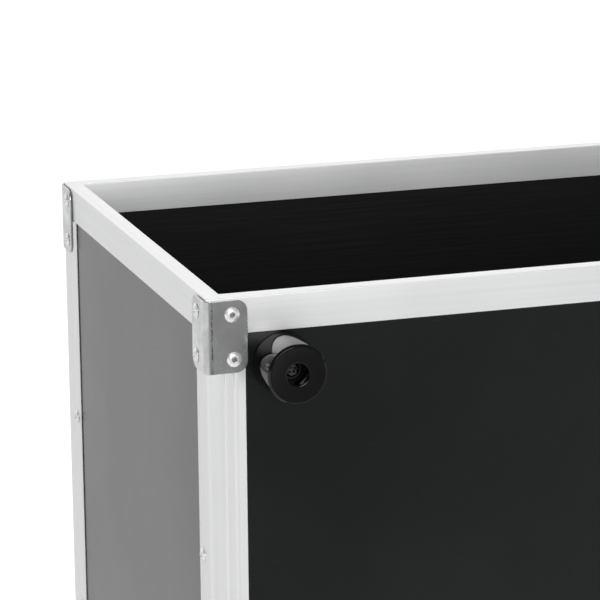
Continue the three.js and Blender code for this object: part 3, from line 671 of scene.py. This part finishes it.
def rim_profile(height):
    """The channel's section, as (distance in from the outer face, height)."""
    w, t = rim_width, rim_wall
    return outline([
        (0, 0, 0.25 * MM), (0, height, 0.85 * MM), (w, height, 0.85 * MM), (w, 0, 0.25 * MM),
        (w - t, 0, 0.25 * MM), (w - t, height - t, 0.3 * MM), (t, height - t, 0.3 * MM), (t, 0, 0.25 * MM),
    ])


def rim_side(face, length, origin, along, inward):
    section = rim_profile(rim_top - rim_bottom)
    half = length / 2
    ends = []
    for sign in (-1, 1):
        ends.append([Vector((sign * (half - mitre_gap - p.x), p.x, p.y)) for p in section])
    metal = aluminium["X" if face in FACES else "Y"]
    place = frame_at(origin, along, inward, Z)
    return piece(f"rim_channel_{face}", bridge(ends), place, metal, stands_for=[f"rim_{face}"])


case_width, case_depth = case_right - case_left, case_back - case_front
rim_side("front", case_width, Vector((0, case_front, rim_bottom)), X, Y)
rim_side("back", case_width, Vector((0, case_back, rim_bottom)), -X, -Y)
rim_side("left", case_depth, Vector((case_left, middle_y, rim_bottom)), -Y, X)
rim_side("right", case_depth, Vector((case_right, middle_y, rim_bottom)), Y, -X)
print("rim sides: 4, section", round(rim_width / MM, 2), "mm wide")

# %% [markdown]
# ## Ribbed angles
# The posts and base edges are ribbed angles in eight lengths. Their outer faces carry two shallow
# flutes and a lip that slopes down to the board, which hides scratches and gives the bands of light
# along each post. The back posts have a wider leg on the side faces. One rule draws the section from
# its two legs, and it is pulled along each edge.

# %% Posts and base edges
leg_wall = 1.5 * MM
flute_places = (11.6 * MM, 17.9 * MM)
flute_half, flute_depth = 0.75 * MM, 0.38 * MM
lip_width, lip_drop = 4.8 * MM, 0.8 * MM
bend_radius = 3.0 * MM


def leg_face(leg):
    """A leg's outer face from the corner outward: two flutes, then the lip."""
    face = []
    for place in flute_places:
        face.append((place - flute_half, 0, 0.3 * MM))
        face.append((place, flute_depth, 0.35 * MM))
        face.append((place + flute_half, 0, 0.3 * MM))
    lip = [(leg - lip_width, 0, 0.6 * MM), (leg - 0.5 * MM, lip_drop, 0.2 * MM), (leg, lip_drop, 0.15 * MM)]
    return face + lip


def angle_profile(first, second):
    """The section, with the outer corner at the origin and a leg along each axis."""
    corners = [(0, 0, bend_radius), *leg_face(first), (first, leg_wall, 0.2 * MM)]
    corners += [(leg_wall, leg_wall, 0.5 * MM), (leg_wall, second, 0.2 * MM)]
    corners += [(y, x, r) for x, y, r in reversed(leg_face(second))]
    return outline(corners, steps=4)


def angle_bar(name, node, corner, first, second, axis):
    """An angle over its solid: a leg along each of two ways, and its length along the third."""
    low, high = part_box(node)
    across, down, length = (abs((high - low).dot(way)) for way in (first, second, first.cross(second)))
    ends = [[Vector((p.x, p.y, z)) for p in angle_profile(across, down)] for z in (0, length)]
    place = frame_at(outer_corner(node, corner), first, second, first.cross(second))
    return piece(name, bridge(ends), place, aluminium[axis], stands_for=[node])


for corner in CORNERS:
    angle_bar(f"ribbed_post_{corner}", f"post_{corner}", corner, *corner_directions(corner), "Z")
for face, corner, first, second, axis in (
    ("front", "front_left", Y, Z, "X"),
    ("back", "back_left", Z, -Y, "X"),
    ("left", "front_left", Z, X, "Y"),
    ("right", "front_right", -X, Z, "Y"),
):
    angle_bar(f"ribbed_edge_{face}", f"base_edge_{face}", corner, first, second, axis)
print("ribbed angles: 8")

# %% [markdown]
# ## Rim corner brackets
# Each bracket starts as a flat plate with rounded corners and is folded over a former. The script does
# the same: the flat outline is sliced across where the fold will be, and each point's distance along
# the plate is then wound round the bend. Solidify gives the steel its thickness, and a small bevel
# rounds the sheared edge.

# %% Brackets
bracket_round = 7.5 * MM
sheared_edge = 0.4 * MM


def folded_plate(reach, height, corner_radius, bend, wall):
    """A plate folded square round Z: its outer corner is at the origin, its legs run along X and Y."""
    middle = bend - wall / 2
    arc = middle * math.pi / 2
    half = reach - bend + arc / 2
    ends = ((-half, 0), (half, 0), (half, height), (-half, height))
    flat = outline([(x, z, corner_radius) for x, z in ends], 10)
    bm = bmesh.new()
    bm.faces.new([bm.verts.new((p.x, 0, p.y)) for p in flat])
    slices = 10
    for k in range(slices + 1):
        s = -arc / 2 + arc * k / slices
        geometry = bm.verts[:] + bm.edges[:] + bm.faces[:]
        bmesh.ops.bisect_plane(bm, geom=geometry, plane_co=(s, 0, 0), plane_no=(1, 0, 0), dist=1e-7)
    for vertex in bm.verts:
        s, z = vertex.co.x, vertex.co.z
        if s > arc / 2:
            vertex.co = (bend + s - arc / 2, wall / 2, z)
        elif s < -arc / 2:
            vertex.co = (wall / 2, bend - s - arc / 2, z)
        else:
            angle = math.pi * 1.25 + s / middle
            vertex.co = (bend + middle * math.cos(angle), bend + middle * math.sin(angle), z)
    return bm


def bracket(corner):
    node = f"bracket_{corner}"
    low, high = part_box(node)
    bm = folded_plate(high.x - low.x, high.z - low.z, bracket_round, bracket_bend, plate_wall)
    place = frame_at(outer_corner(node, corner), *corner_directions(corner), Z)
    return pressed(f"folded_bracket_{corner}", bm, place, node, sheared_edge)


for corner in CORNERS:
    bracket(corner)
print("brackets: 4")

# %% [markdown]
# ## Ball corners
# A ball corner is pressed from one sheet: three flat legs, rounded where they meet, with a ball pushed
# out at the tip. A grid over the three legs is shaped by rules: first the outer edges are rounded,
# then every point closer to the ball's centre than its radius is pushed out to it, with a soft
# blend where the ball meets the flats.

# %% Ball corners
ball_leg = 36 * MM
ball_radius = 15 * MM
ball_inset = 9 * MM
leg_round = 12 * MM
press_round = 3.0 * MM
ball_blend = 1.4 * MM
grid_steps = 40


def soft_max(a, b, blend):
    h = max(0.0, min(1.0, 0.5 + 0.5 * (a - b) / blend))
    return b * (1 - h) + a * h + blend * h * (1 - h)


def pressed_point(p, outside):
    """Where a point of the plain box corner goes on the pressed corner."""
    inner = Vector([max(v, -outside + press_round) for v in p])
    away = p - inner
    if away.length > 1e-9:
        p = inner + away.normalized() * press_round
    centre = Vector((ball_inset,) * 3)
    from_centre = p - centre
    reach = soft_max(from_centre.length, ball_radius - plate_wall / 2, ball_blend)
    moved = centre + from_centre.normalized() * reach
    lowest = -ball_proud + plate_wall / 2
    return Vector([max(v, lowest) for v in moved])


def rounded_leg(u, v):
    """Keeps a point of a leg within the leg's rounded free corner."""
    centre = ball_leg - leg_round
    du, dv = u - centre, v - centre
    if du > 0 and dv > 0:
        square = max(du, dv)
        far = math.hypot(du, dv)
        return centre + du * square / far, centre + dv * square / far
    return u, v


ball_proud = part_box("post_front_left")[0].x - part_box("ball_corner_front_left")[0].x


def ball_corner(corner):
    outside = fit_gap + plate_wall / 2
    bm = bmesh.new()
    span = ball_leg + outside
    for order in ((0, 1, 2), (1, 2, 0), (2, 0, 1)):
        grid = []
        for i in range(grid_steps + 1):
            row = []
            for j in range(grid_steps + 1):
                u, v = rounded_leg(-outside + span * i / grid_steps, -outside + span * j / grid_steps)
                point = [0.0, 0.0, 0.0]
                point[order[0]], point[order[1]], point[order[2]] = u, v, -outside
                row.append(bm.verts.new(pressed_point(Vector(point), outside)))
            grid.append(row)
        for i in range(grid_steps):
            for j in range(grid_steps):
                bm.faces.new((grid[i][j], grid[i + 1][j], grid[i + 1][j + 1], grid[i][j + 1]))
    bmesh.ops.remove_doubles(bm, verts=bm.verts, dist=1e-6)
    node = f"ball_corner_{corner}"
    post = outer_corner(f"post_{corner}", corner)
    origin = Vector((post.x, post.y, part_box("base_edge_front")[0].z))
    place = frame_at(origin, *corner_directions(corner), Z)
    return pressed(f"pressed_ball_corner_{corner}", bm, place, node, sheared_edge)


for corner in CORNERS:
    ball_corner(corner)
print("ball corners: 4, standing", round(ball_proud / MM, 2), "mm proud")

# %% [markdown]
# ## Rubber feet
# A foot is a moulded rubber cylinder with a deep pocket for its screw. It is a turned shape: the
# profile runs up the outside, rounds over at the end face, drops into the pocket and comes back down
# the bore. A blacked washer lies on the pocket's floor.

# %% Feet
foot_chamfer = 1.1 * MM
pocket_radius, bore_radius = 7.15 * MM, 2.7 * MM
washer_radius, washer_edge = 6.75 * MM, 0.25 * MM


def front_frame(node):
    """The frame of a turned piece on the front board: its middle at its foot, with Z outwards."""
    low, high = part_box(node)
    return frame_at(Vector(((low.x + high.x) / 2, high.y, (low.z + high.z) / 2)), X, Z, -Y)


def arc(cx, cy, radius, start, end, steps=6):
    """Points of an arc in a turned profile, with its angles in degrees."""
    angles = [math.radians(start + (end - start) * k / steps) for k in range(steps + 1)]
    return [(cx + radius * math.cos(a), cy + radius * math.sin(a)) for a in angles]


def foot_profile(radius, height, pocket, depth, bore):
    c = foot_chamfer
    lip = 0.5 * MM
    ring = 0.15 * MM
    return [
        (bore, 0), (radius - 0.8 * MM, 0), *arc(radius - 0.8 * MM, 0.8 * MM, 0.8 * MM, -90, 0),
        *arc(radius - 0.3 * MM, height - c - 0.3 * MM, 0.3 * MM, 0, 45, 3),
        *arc(radius - c - 0.35 * MM, height - 0.35 * MM, 0.35 * MM, 45, 90, 3),
        (radius - 2.6 * MM, height - ring), (pocket + lip + 0.6 * MM, height - ring),
        *arc(pocket + lip, height - ring - lip, lip, 90, 180, 4),
        (pocket - 0.15 * MM, height - depth * 0.5), (pocket - 0.3 * MM, height - depth + 0.4 * MM),
        (pocket - 0.7 * MM, height - depth), (bore + 0.3 * MM, height - depth),
        (bore, height - depth - 0.3 * MM),
    ]


def foot(place_name):
    node = f"foot_{place_name}"
    low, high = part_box(node)
    radius, height = (high.x - low.x) / 2, high.y - low.y
    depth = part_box(f"foot_washer_{place_name}")[1].y - low.y + fit_gap
    bm = lathe(foot_profile(radius, height, pocket_radius, depth, bore_radius), 96)
    name = f"rubber_foot_{place_name}"
    return piece(name, bm, front_frame(node), foot_rubber, stands_for=[node], smooth_angle=28)


def foot_washer(place_name):
    node = f"foot_washer_{place_name}"
    low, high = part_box(node)
    inner, r, wall = bore_radius, washer_edge, high.y - low.y
    outer = min((high.x - low.x) / 2, washer_radius)
    profile = [(inner, 0), (outer - r, 0), *arc(outer - r, r, r, -90, 0, 3)]
    profile += [*arc(outer - r, wall - r, r, 0, 90, 3), (inner + r, wall), (inner, wall - r)]
    name, washer = f"steel_washer_{place_name}", lathe(profile, 48)
    return piece(name, washer, front_frame(node), black_washer, stands_for=[node])


for place_name in FEET:
    foot(place_name)
    foot_washer(place_name)
print("feet and washers:", len(FEET))

# %% [markdown]
# A pan-head screw holds each foot. Its cross recess is the one part that a turned shape can't give,
# so a tapered cross is cut out of the head with a boolean, and the cutter is deleted afterwards.

# %% Foot screws
screw_shank, head_height = 2.4 * MM, 2.6 * MM
recess_arm, recess_half, recess_depth = 2.7 * MM, 0.62 * MM, 1.7 * MM
screw_turn = math.radians(38)


def cross_cutter(arm, half, bottom, top):
    """A cross that narrows towards its bottom."""
    parts = []
    for turn in (0, 1):
        rings = []
        for level, scale in ((bottom, 0.45), (top, 1.0)):
            a, h = arm * scale, half * (0.7 + 0.3 * scale)
            box = [(-a, -h), (a, -h), (a, h), (-a, h)]
            rings.append([Vector((x, y, level)) if not turn else Vector((-y, x, level)) for x, y in box])
        parts.append(bridge(rings))
    return parts


def foot_screw(place_name):
    node = f"foot_screw_{place_name}"
    low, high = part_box(node)
    radius = (high.x - low.x) / 2
    length = high.y - low.y
    head, shank = length - head_height, screw_shank
    profile = [(0, 0), (0.4 * MM, 0.2 * MM), (shank, 3.0 * MM), (shank, head), (radius - 0.2 * MM, head)]
    profile += [*arc(radius - 0.3 * MM, head + 0.3 * MM, 0.3 * MM, -90, 0, 3)]
    profile += [*arc(radius - 1.6 * MM, length - 1.6 * MM, 1.6 * MM, 0, 80, 6), (0, length)]
    place = front_frame(node) @ Matrix.Rotation(screw_turn, 4, "Z")
    name, shape = f"pan_screw_{place_name}", lathe(profile, 40)
    screw = piece(name, shape, place, dark_steel, stands_for=[node])
    for part in cross_cutter(recess_arm, recess_half, length - recess_depth, length + 0.5 * MM):
        bmesh.ops.transform(part, matrix=place, verts=part.verts)
        bmesh.ops.recalc_face_normals(part, faces=part.faces)
        mesh = bpy.data.meshes.new("cutter")
        part.to_mesh(mesh)
        part.free()
        cutter = bpy.data.objects.new("cutter", mesh)
        bpy.context.scene.collection.objects.link(cutter)
        cut = screw.modifiers.new("recess", "BOOLEAN")
        cut.operation, cut.object, cut.solver = "DIFFERENCE", cutter, "EXACT"
        bpy.context.view_layer.objects.active = screw
        bpy.ops.object.modifier_apply(modifier=cut.name)
        bpy.data.objects.remove(cutter)
        bpy.data.meshes.remove(mesh)
    return screw


for place_name in FEET:
    foot_screw(place_name)
print("foot screws:", len(FEET))

# %% [markdown]
# ## Pressed dishes
# Handles and latches sit in pans drawn from sheet steel. A pan is a stack of rounded rectangles: the
# flange's edge, the roll-over into the pan, the sloping wall, the floor's radius and the floor. Those
# rings are bridged, and Solidify turns the skin into sheet.

# %% Pans
handle_border, handle_depth, handle_draft = 11 * MM, 16.2 * MM, 4 * MM
latch_border, latch_depth, latch_draft = 8 * MM, 14 * MM, 3 * MM
pan_corner = 12 * MM
pressed_edge = 0.25 * MM
flange_level = fit_gap + plate_wall / 2


def rounded_ring(width, height, radius, level, steps=8):
    x, y = width / 2, height / 2
    radius = max(radius, 0.5 * MM)
    corners = [(-x, -y, radius), (x, -y, radius), (x, y, radius), (-x, y, radius)]
    return [Vector((p.x, p.y, level)) for p in outline(corners, steps)]


def pan_shape(width, height, depth, draft, border, corner):
    """The pan's middle skin, in its own frame: Z points out of the board."""
    floor_level = -depth + plate_wall / 2
    roll, floor_roll = 1.6 * MM, 3.0 * MM
    inner_w, inner_h = width - plate_wall, height - plate_wall
    rings = [rounded_ring(width + 2 * border, height + 2 * border, corner, flange_level)]
    for k in range(5):
        angle = math.pi / 2 * k / 4
        grow = 2 * roll * (1 - math.sin(angle))
        level = flange_level - roll * (1 - math.cos(angle))
        radius = corner - plate_wall / 2 + grow / 2
        rings.append(rounded_ring(inner_w + grow, inner_h + grow, radius, level))
    for k in range(5):
        angle = math.pi / 2 * k / 4
        shrink = 2 * (draft * 0.6 + floor_roll * (1 - math.cos(angle)))
        level = floor_level + floor_roll * (1 - math.sin(angle))
        radius = corner - plate_wall / 2 - shrink / 2
        rings.append(rounded_ring(inner_w - shrink, inner_h - shrink, radius, level))
    bm = bridge(rings, close_ends=False)
    bm.verts.ensure_lookup_table()
    bm.faces.new(bm.verts[-len(rings[-1]):])
    return bm


def dish_frame(node, side):
    """The dish's own frame at its middle on the board's outer face: X along it, Y up, Z outwards."""
    low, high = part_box(node)
    centre = (low + high) / 2
    if side == "left":
        return frame_at(Vector((board_left, centre.y, centre.z)), -Y, Z, -X)
    if side == "right":
        return frame_at(Vector((board_right, centre.y, centre.z)), Y, Z, X)
    return frame_at(Vector((centre.x, board_front, centre.z)), X, Z, -Y)


def dish(node, name, side, depth, draft, border):
    low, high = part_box(node)
    across = high.y - low.y if side in SIDES else high.x - low.x
    opening = (across - 2 * border, high.z - low.z - 2 * border)
    bm = pan_shape(*opening, depth, draft, border, pan_corner)
    return pressed(name, bm, dish_frame(node, side), node, pressed_edge)


dish("latch_dish", "latch_pan", "front", latch_depth, latch_draft, latch_border)
for side in SIDES:
    dish(f"handle_dish_{side}", f"handle_pan_{side}", side, handle_depth, handle_draft, handle_border)
print("pans: 3")

# %% [markdown]
# ## Sprung handles
# The bail is one steel rod with four bends, and its ends turn in two ears that stand on the pan's
# floor. The grip is a ribbed rubber sleeve, and a torsion spring round one pin folds the bail flat
# again. The rod and spring are round bars pulled along a path, and the grip is turned.

# %% Handles
bail_radius = 4 * MM
bail_bend = 6 * MM
bail_depth = 5 * MM
bail_half_span = 54.5 * MM
ear_wall = 2.5 * MM
ear_radius = 7.2 * MM
ear_bore = bail_radius + 0.25 * MM
ear_from_pin_end = 1 * MM
grip_ribs, rib_depth, grip_waist, grip_shoulder = 14, 0.45 * MM, 1.2 * MM, 1.6 * MM
spring_wire, spring_pitch, spring_turns = 0.6 * MM, 1.5 * MM, 3


def rod_path(corners, bend, steps=10):
    """A path through corner points, with every corner but the ends rounded."""
    points = [corners[0]]
    for before, here, after in zip(corners, corners[1:], corners[2:]):
        start = here + (before - here).normalized() * bend
        end = here + (after - here).normalized() * bend
        centre = start + end - here
        for k in range(steps + 1):
            angle = math.pi / 2 * k / steps
            points.append(centre + (start - centre) * math.cos(angle) + (end - centre) * math.sin(angle))
    return [*points, corners[-1]]


def ear(x, pivot_y, floor_level):
    """A pressed ear with the pin's bore, standing on the pan floor."""
    sides = 40
    rings = []
    for level in (x, x + ear_wall):
        outer, inner = [], []
        for k in range(sides):
            angle = 2 * math.pi * k / sides
            c, s = math.cos(angle), math.sin(angle)
            drop = s * ear_radius if s > 0 else max(s * ear_radius * 3.0, floor_level + bail_depth)
            wide = c * ear_radius if s > 0 else math.copysign(min(abs(c) * 3, 1), c) * ear_radius
            outer.append(Vector((level, pivot_y + wide, -bail_depth + drop)))
            inner.append(Vector((level, pivot_y + c * ear_bore, -bail_depth + s * ear_bore)))
        rings.append((outer, inner))
    loop = [rings[0][0], rings[1][0], rings[1][1], rings[0][1]]
    return bridge(loop, close_loop=True)


def handle(side):
    place = dish_frame(f"handle_dish_{side}", side)
    bail_low, bail_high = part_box(f"handle_bail_{side}")
    dish_low, dish_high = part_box(f"handle_dish_{side}")
    centre_z = (dish_low.z + dish_high.z) / 2
    pin_reach = (bail_high.y - bail_low.y) / 2
    pivot_y = bail_high.z - centre_z - bail_radius
    bar_y = bail_low.z - centre_z + bail_radius
    half = bail_half_span
    corners = [(-pin_reach, pivot_y), (-half, pivot_y), (-half, bar_y)]
    corners += [(half, bar_y), (half, pivot_y), (pin_reach, pivot_y)]
    path = rod_path([Vector((x, y, -bail_depth)) for x, y in corners], bail_bend)
    rod = tube(path, bail_radius, 24)
    body = f"bail_{side}"
    piece(f"bail_rod_{side}", rod, place, bright, body, [f"handle_bail_{side}"], edge=0.4 * MM)

    grip_low, grip_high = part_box(f"handle_grip_{side}")
    grip_half, grip_radius = (grip_high.y - grip_low.y) / 2, (grip_high.z - grip_low.z) / 2
    profile = [(bail_radius + 0.1 * MM, -grip_half), (grip_radius - 2.2 * MM, -grip_half)]
    stations = 120
    for k in range(stations + 1):
        t = -1 + 2 * k / stations
        rib = rib_depth * (0.5 + 0.5 * math.cos(2 * math.pi * grip_ribs * t)) * (abs(t) < 0.86)
        shoulder = grip_shoulder * max(0, (abs(t) - 0.94) / 0.06) ** 2
        profile.append((grip_radius - grip_waist * t ** 2 - shoulder - rib, t * grip_half * 0.999))
    profile += [(grip_radius - 2.2 * MM, grip_half), (bail_radius + 0.1 * MM, grip_half)]
    turn = Matrix.Translation((0, bar_y, -bail_depth)) @ Matrix.Rotation(math.pi / 2, 4, "Y")
    sleeve, node = lathe(profile, 48), f"handle_grip_{side}"
    piece(f"grip_sleeve_{side}", sleeve, place @ turn, grip_rubber, body, [node])

    floor_level = -handle_depth + plate_wall
    ear_inner = pin_reach - ear_from_pin_end - ear_wall
    ears = join(ear(ear_inner, pivot_y, floor_level), ear(-ear_inner - ear_wall, pivot_y, floor_level))
    piece(f"handle_ears_{side}", ears, place, zinc, edge=pressed_edge)

    coil, per_turn = bail_radius + 1.1 * MM, 24
    path = []
    for k in range(spring_turns * per_turn + 1):
        angle = 2 * math.pi * k / per_turn
        x = ear_inner - 0.8 * MM - spring_pitch * k / per_turn
        path.append(Vector((x, pivot_y + coil * math.cos(angle), -bail_depth + coil * math.sin(angle))))
    spring = tube(path, spring_wire, 12)
    piece(f"torsion_spring_{side}", spring, place, bright, "root", [f"handle_spring_{side}"])


for side in SIDES:
    handle(side)
print("handles: 2")

# %% [markdown]
# ## Turn latch and hinges
# The hook plate, the cam, the wing and the hinge leaves are stampings whose solids are already right,
# so they are not modelled again. A copy of each is merged into one skin, its coplanar triangles are
# dissolved, and its sharp edges get a small radius, as tumbling gives a real stamping.

# %% Latch and hinges


def tumbled_copy(node_name, name, body, material, radius):
    bm = bmesh.new()
    bm.from_mesh(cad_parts[node_name].data)
    bmesh.ops.remove_doubles(bm, verts=bm.verts, dist=1e-6)
    bmesh.ops.dissolve_limit(bm, angle_limit=math.radians(1), verts=bm.verts, edges=bm.edges)
    return piece(name, bm, Matrix.Identity(4), material, body, [node_name], edge=radius)


tumbled_copy("latch_hook", "hook_plate", "latch_hook_body", zinc, 0.25 * MM)
tumbled_copy("latch_cam", "turn_cam", "latch_cam_body", zinc, 0.2 * MM)
tumbled_copy("latch_wing", "butterfly_wing", "latch_wing_body", bright, 0.2 * MM)
for side in SIDES:
    tumbled_copy(f"hinge_leaf_{side}", f"rolled_leaf_{side}", "root", zinc, 0.25 * MM)
    tumbled_copy(f"hinge_pin_{side}", f"loose_pin_{side}", "root", bright, 0.2 * MM)
print("latch and hinges ready")

# %% [markdown]
# ## Rivets
# Blind rivets hold the corners, posts, dishes and hinges. They all look the same and lie on faces that
# point five ways, so this is work for Geometry Nodes: a mesh of loose points says where each one sits,
# an attribute says which way it faces, and the tree puts a shape on each, turned by a seeded random
# angle so that their small flaws don't repeat. It runs twice: once for the domes, and once for the
# ends of the broken mandrels in their holes.

# %% Rivet head
rivet_radius = 4.75 * MM
rivet_height = 1.55 * MM
mandrel_radius = 1.35 * MM
dimple_radius = 1.9 * MM


def plain_object(name, bm):
    """A shape as an object for the scatter to copy."""
    bmesh.ops.recalc_face_normals(bm, faces=bm.faces)
    mesh = bpy.data.meshes.new(name)
    bm.to_mesh(mesh)
    bm.free()
    mesh.shade_smooth()
    return bpy.data.objects.new(name, mesh)


def rivet_head():
    """A dome with a rounded rim and a hole through its crown."""
    r, h, m, d = rivet_radius, rivet_height, mandrel_radius + 0.1 * MM, dimple_radius
    profile = [(m, 0), (r - 0.15 * MM, 0), *arc(r - 0.3 * MM, 0.3 * MM, 0.3 * MM, -60, 40, 4)]
    crown = 8
    for k in range(1, crown + 1):
        t = k / crown
        climb = (h - 0.5 * MM) * math.sin(t * math.pi / 2)
        profile.append((r - 0.1 * MM - (r - d - 0.3 * MM) * t, 0.5 * MM + climb))
    profile += [*arc(d, h - 0.2 * MM, 0.2 * MM, 80, 180, 4), (m, h - 0.7 * MM)]
    return plain_object("rivet_head", lathe(profile, 40))


def rivet_core():
    """The mandrel's end, where it broke off below the crown."""
    m, top = mandrel_radius, rivet_height - 0.75 * MM
    profile = [(0, 0), (m, 0), (m, top - 0.2 * MM), (m * 0.8, top)]
    profile += [(m * 0.45, top - 0.12 * MM), (0, top - 0.05 * MM)]
    return plain_object("rivet_core", lathe(profile, 24))


print("rivet head:", round(2 * rivet_radius / MM, 2), "mm wide")

# %% Rivet places
bracket_rivet_places = ((9.0 * MM, 17.6 * MM), (37.2 * MM, 18.6 * MM))
ball_rivet_reach = 27 * MM
post_rivet_drops = (167 * MM, 310 * MM, 453 * MM)
dish_rivet_shares = (-0.93, 0, 0.93)
front_post_reach, back_post_reach = 14.8 * MM, 25.5 * MM
hinge_rivet_half, hinge_rivet_rows, hinge_wall = 23 * MM, (7 * MM, 17 * MM), 1.5 * MM
rivet_rows = []


def add_rivet(point, facing):
    rivet_rows.append((Vector(point), Vector(facing)))


def bracket_rivets(corner):
    """Two in each leg, one over the rim and one over the post."""
    node = f"bracket_{corner}"
    top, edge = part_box(node)[1].z, outer_corner(node, corner)
    side, front = corner_signs(corner)
    for drop, reach in bracket_rivet_places:
        add_rivet((edge.x - side * reach, edge.y, top - drop), (0, front, 0))
        add_rivet((edge.x, edge.y - front * reach, top - drop), (side, 0, 0))


def ball_rivets(corner):
    """One in each leg of the corner."""
    side, front = corner_signs(corner)
    origin = outer_corner(f"post_{corner}", corner)
    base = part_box("base_edge_front")[0].z
    reach, skin = ball_rivet_reach, sheet_skin
    add_rivet((origin.x - side * reach, origin.y + front * skin, base + reach), (0, front, 0))
    add_rivet((origin.x + side * skin, origin.y - front * reach, base + reach), (side, 0, 0))
    add_rivet((origin.x - side * reach, origin.y - front * reach, base - skin), (0, 0, -1))


def post_rivets(corner):
    """A column down the leg on each side face."""
    side, front = corner_signs(corner)
    origin = outer_corner(f"post_{corner}", corner)
    reach = front_post_reach if front < 0 else back_post_reach
    for drop in post_rivet_drops:
        add_rivet((origin.x, origin.y - front * reach, rim_top - drop), (side, 0, 0))


def dish_rivets(side):
    """Rivets along the top and bottom of a handle dish's flange."""
    node = f"handle_dish_{side}"
    low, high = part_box(node)
    place = dish_frame(node, side)
    across, up = (high.y - low.y - handle_border) / 2, (high.z - low.z - handle_border) / 2
    for share in dish_rivet_shares:
        for sign in (-1, 1):
            add_rivet(place @ Vector((share * across, sign * up, sheet_skin)), place.to_3x3() @ Z)


def hinge_rivets(side):
    """Four through the flat of each leaf."""
    low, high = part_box(f"hinge_leaf_{side}")
    middle = (low.x + high.x) / 2
    for across in (-hinge_rivet_half, hinge_rivet_half):
        for up in hinge_rivet_rows:
            add_rivet((middle + across, board_back + fit_gap + hinge_wall, low.z + up), (0, 1, 0))


for corner in CORNERS:
    bracket_rivets(corner)
    ball_rivets(corner)
    post_rivets(corner)
for side in SIDES:
    dish_rivets(side)
    hinge_rivets(side)
print("rivets:", len(rivet_rows))

# %% Rivet tree


def rivet_tree():
    """The node group: a shape on every point, facing the attribute's way, with a finish of its own."""
    tree = bpy.data.node_groups.new("rivets_on_points", "GeometryNodeTree")
    face = tree.interface
    face.new_socket("Points", in_out="INPUT", socket_type="NodeSocketGeometry")
    face.new_socket("Head", in_out="INPUT", socket_type="NodeSocketObject")
    face.new_socket("Finish", in_out="INPUT", socket_type="NodeSocketMaterial")
    size = face.new_socket("Size", in_out="INPUT", socket_type="NodeSocketFloat")
    size.default_value = 1.0
    seed = face.new_socket("Seed", in_out="INPUT", socket_type="NodeSocketInt")
    seed.default_value = 7
    face.new_socket("Rivets", in_out="OUTPUT", socket_type="NodeSocketGeometry")
    link = tree.links.new
    given = tree.nodes.new("NodeGroupInput")
    result = tree.nodes.new("NodeGroupOutput")
    facing = add_node(tree, "GeometryNodeInputNamedAttribute", data_type="FLOAT_VECTOR")
    facing.inputs["Name"].default_value = "facing"
    align = add_node(tree, "FunctionNodeAlignRotationToVector", axis="Z")
    link(facing.outputs["Attribute"], align.inputs["Vector"])
    chance = add_node(tree, "FunctionNodeRandomValue", data_type="FLOAT")
    chance.inputs[2].default_value = 0.0
    chance.inputs[3].default_value = 2 * math.pi
    link(given.outputs["Seed"], chance.inputs["Seed"])
    spin = tree.nodes.new("FunctionNodeAxisAngleToRotation")
    spin.inputs["Axis"].default_value = (0, 0, 1)
    link(chance.outputs[1], spin.inputs["Angle"])
    turn = add_node(tree, "FunctionNodeRotateRotation", rotation_space="LOCAL")
    link(align.outputs[0], turn.inputs["Rotation"])
    link(spin.outputs[0], turn.inputs["Rotate By"])
    head = tree.nodes.new("GeometryNodeObjectInfo")
    link(given.outputs["Head"], head.inputs["Object"])
    scatter = tree.nodes.new("GeometryNodeInstanceOnPoints")
    link(given.outputs["Points"], scatter.inputs["Points"])
    link(head.outputs["Geometry"], scatter.inputs["Instance"])
    link(turn.outputs[0], scatter.inputs["Rotation"])
    link(given.outputs["Size"], scatter.inputs["Scale"])
    real = tree.nodes.new("GeometryNodeRealizeInstances")
    link(scatter.outputs[0], real.inputs[0])
    coat = tree.nodes.new("GeometryNodeSetMaterial")
    link(real.outputs[0], coat.inputs["Geometry"])
    link(given.outputs["Finish"], coat.inputs["Material"])
    link(coat.outputs[0], result.inputs[0])
    return tree


def socket_id(tree, name):
    return next(s.identifier for s in tree.interface.items_tree if s.name == name and s.in_out == "INPUT")


def scatter_rivets(name, rows, tree, head, finish):
    """Runs the tree on a mesh of points and keeps the result as one plain mesh."""
    points = bpy.data.meshes.new("rivet_points")
    points.from_pydata([row[0] for row in rows], [], [])
    facing = points.attributes.new("facing", "FLOAT_VECTOR", "POINT")
    for i, (_, way) in enumerate(rows):
        facing.data[i].vector = way
    holder = bpy.data.objects.new("rivet_holder", points)
    bpy.context.scene.collection.objects.link(holder)
    modifier = holder.modifiers.new("rivets", "NODES")
    modifier.node_group = tree
    modifier[socket_id(tree, "Head")] = head
    modifier[socket_id(tree, "Finish")] = finish
    modifier[socket_id(tree, "Size")] = 1.0
    graph = bpy.context.evaluated_depsgraph_get()
    mesh = bpy.data.meshes.new_from_object(holder.evaluated_get(graph), depsgraph=graph)
    bpy.data.objects.remove(holder)
    bpy.data.objects.remove(head)
    mesh.name = name
    rivets = bpy.data.objects.new(name, mesh)
    bpy.context.scene.collection.objects.link(rivets)
    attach(rivets, "root")
    return rivets


tree = rivet_tree()
heads = scatter_rivets("blind_rivets", rivet_rows, tree, rivet_head(), rivet_skin)
cores = scatter_rivets("broken_mandrels", rivet_rows, tree, rivet_core(), mandrel)
print("rivet faces:", len(heads.data.polygons), "core faces:", len(cores.data.polygons))
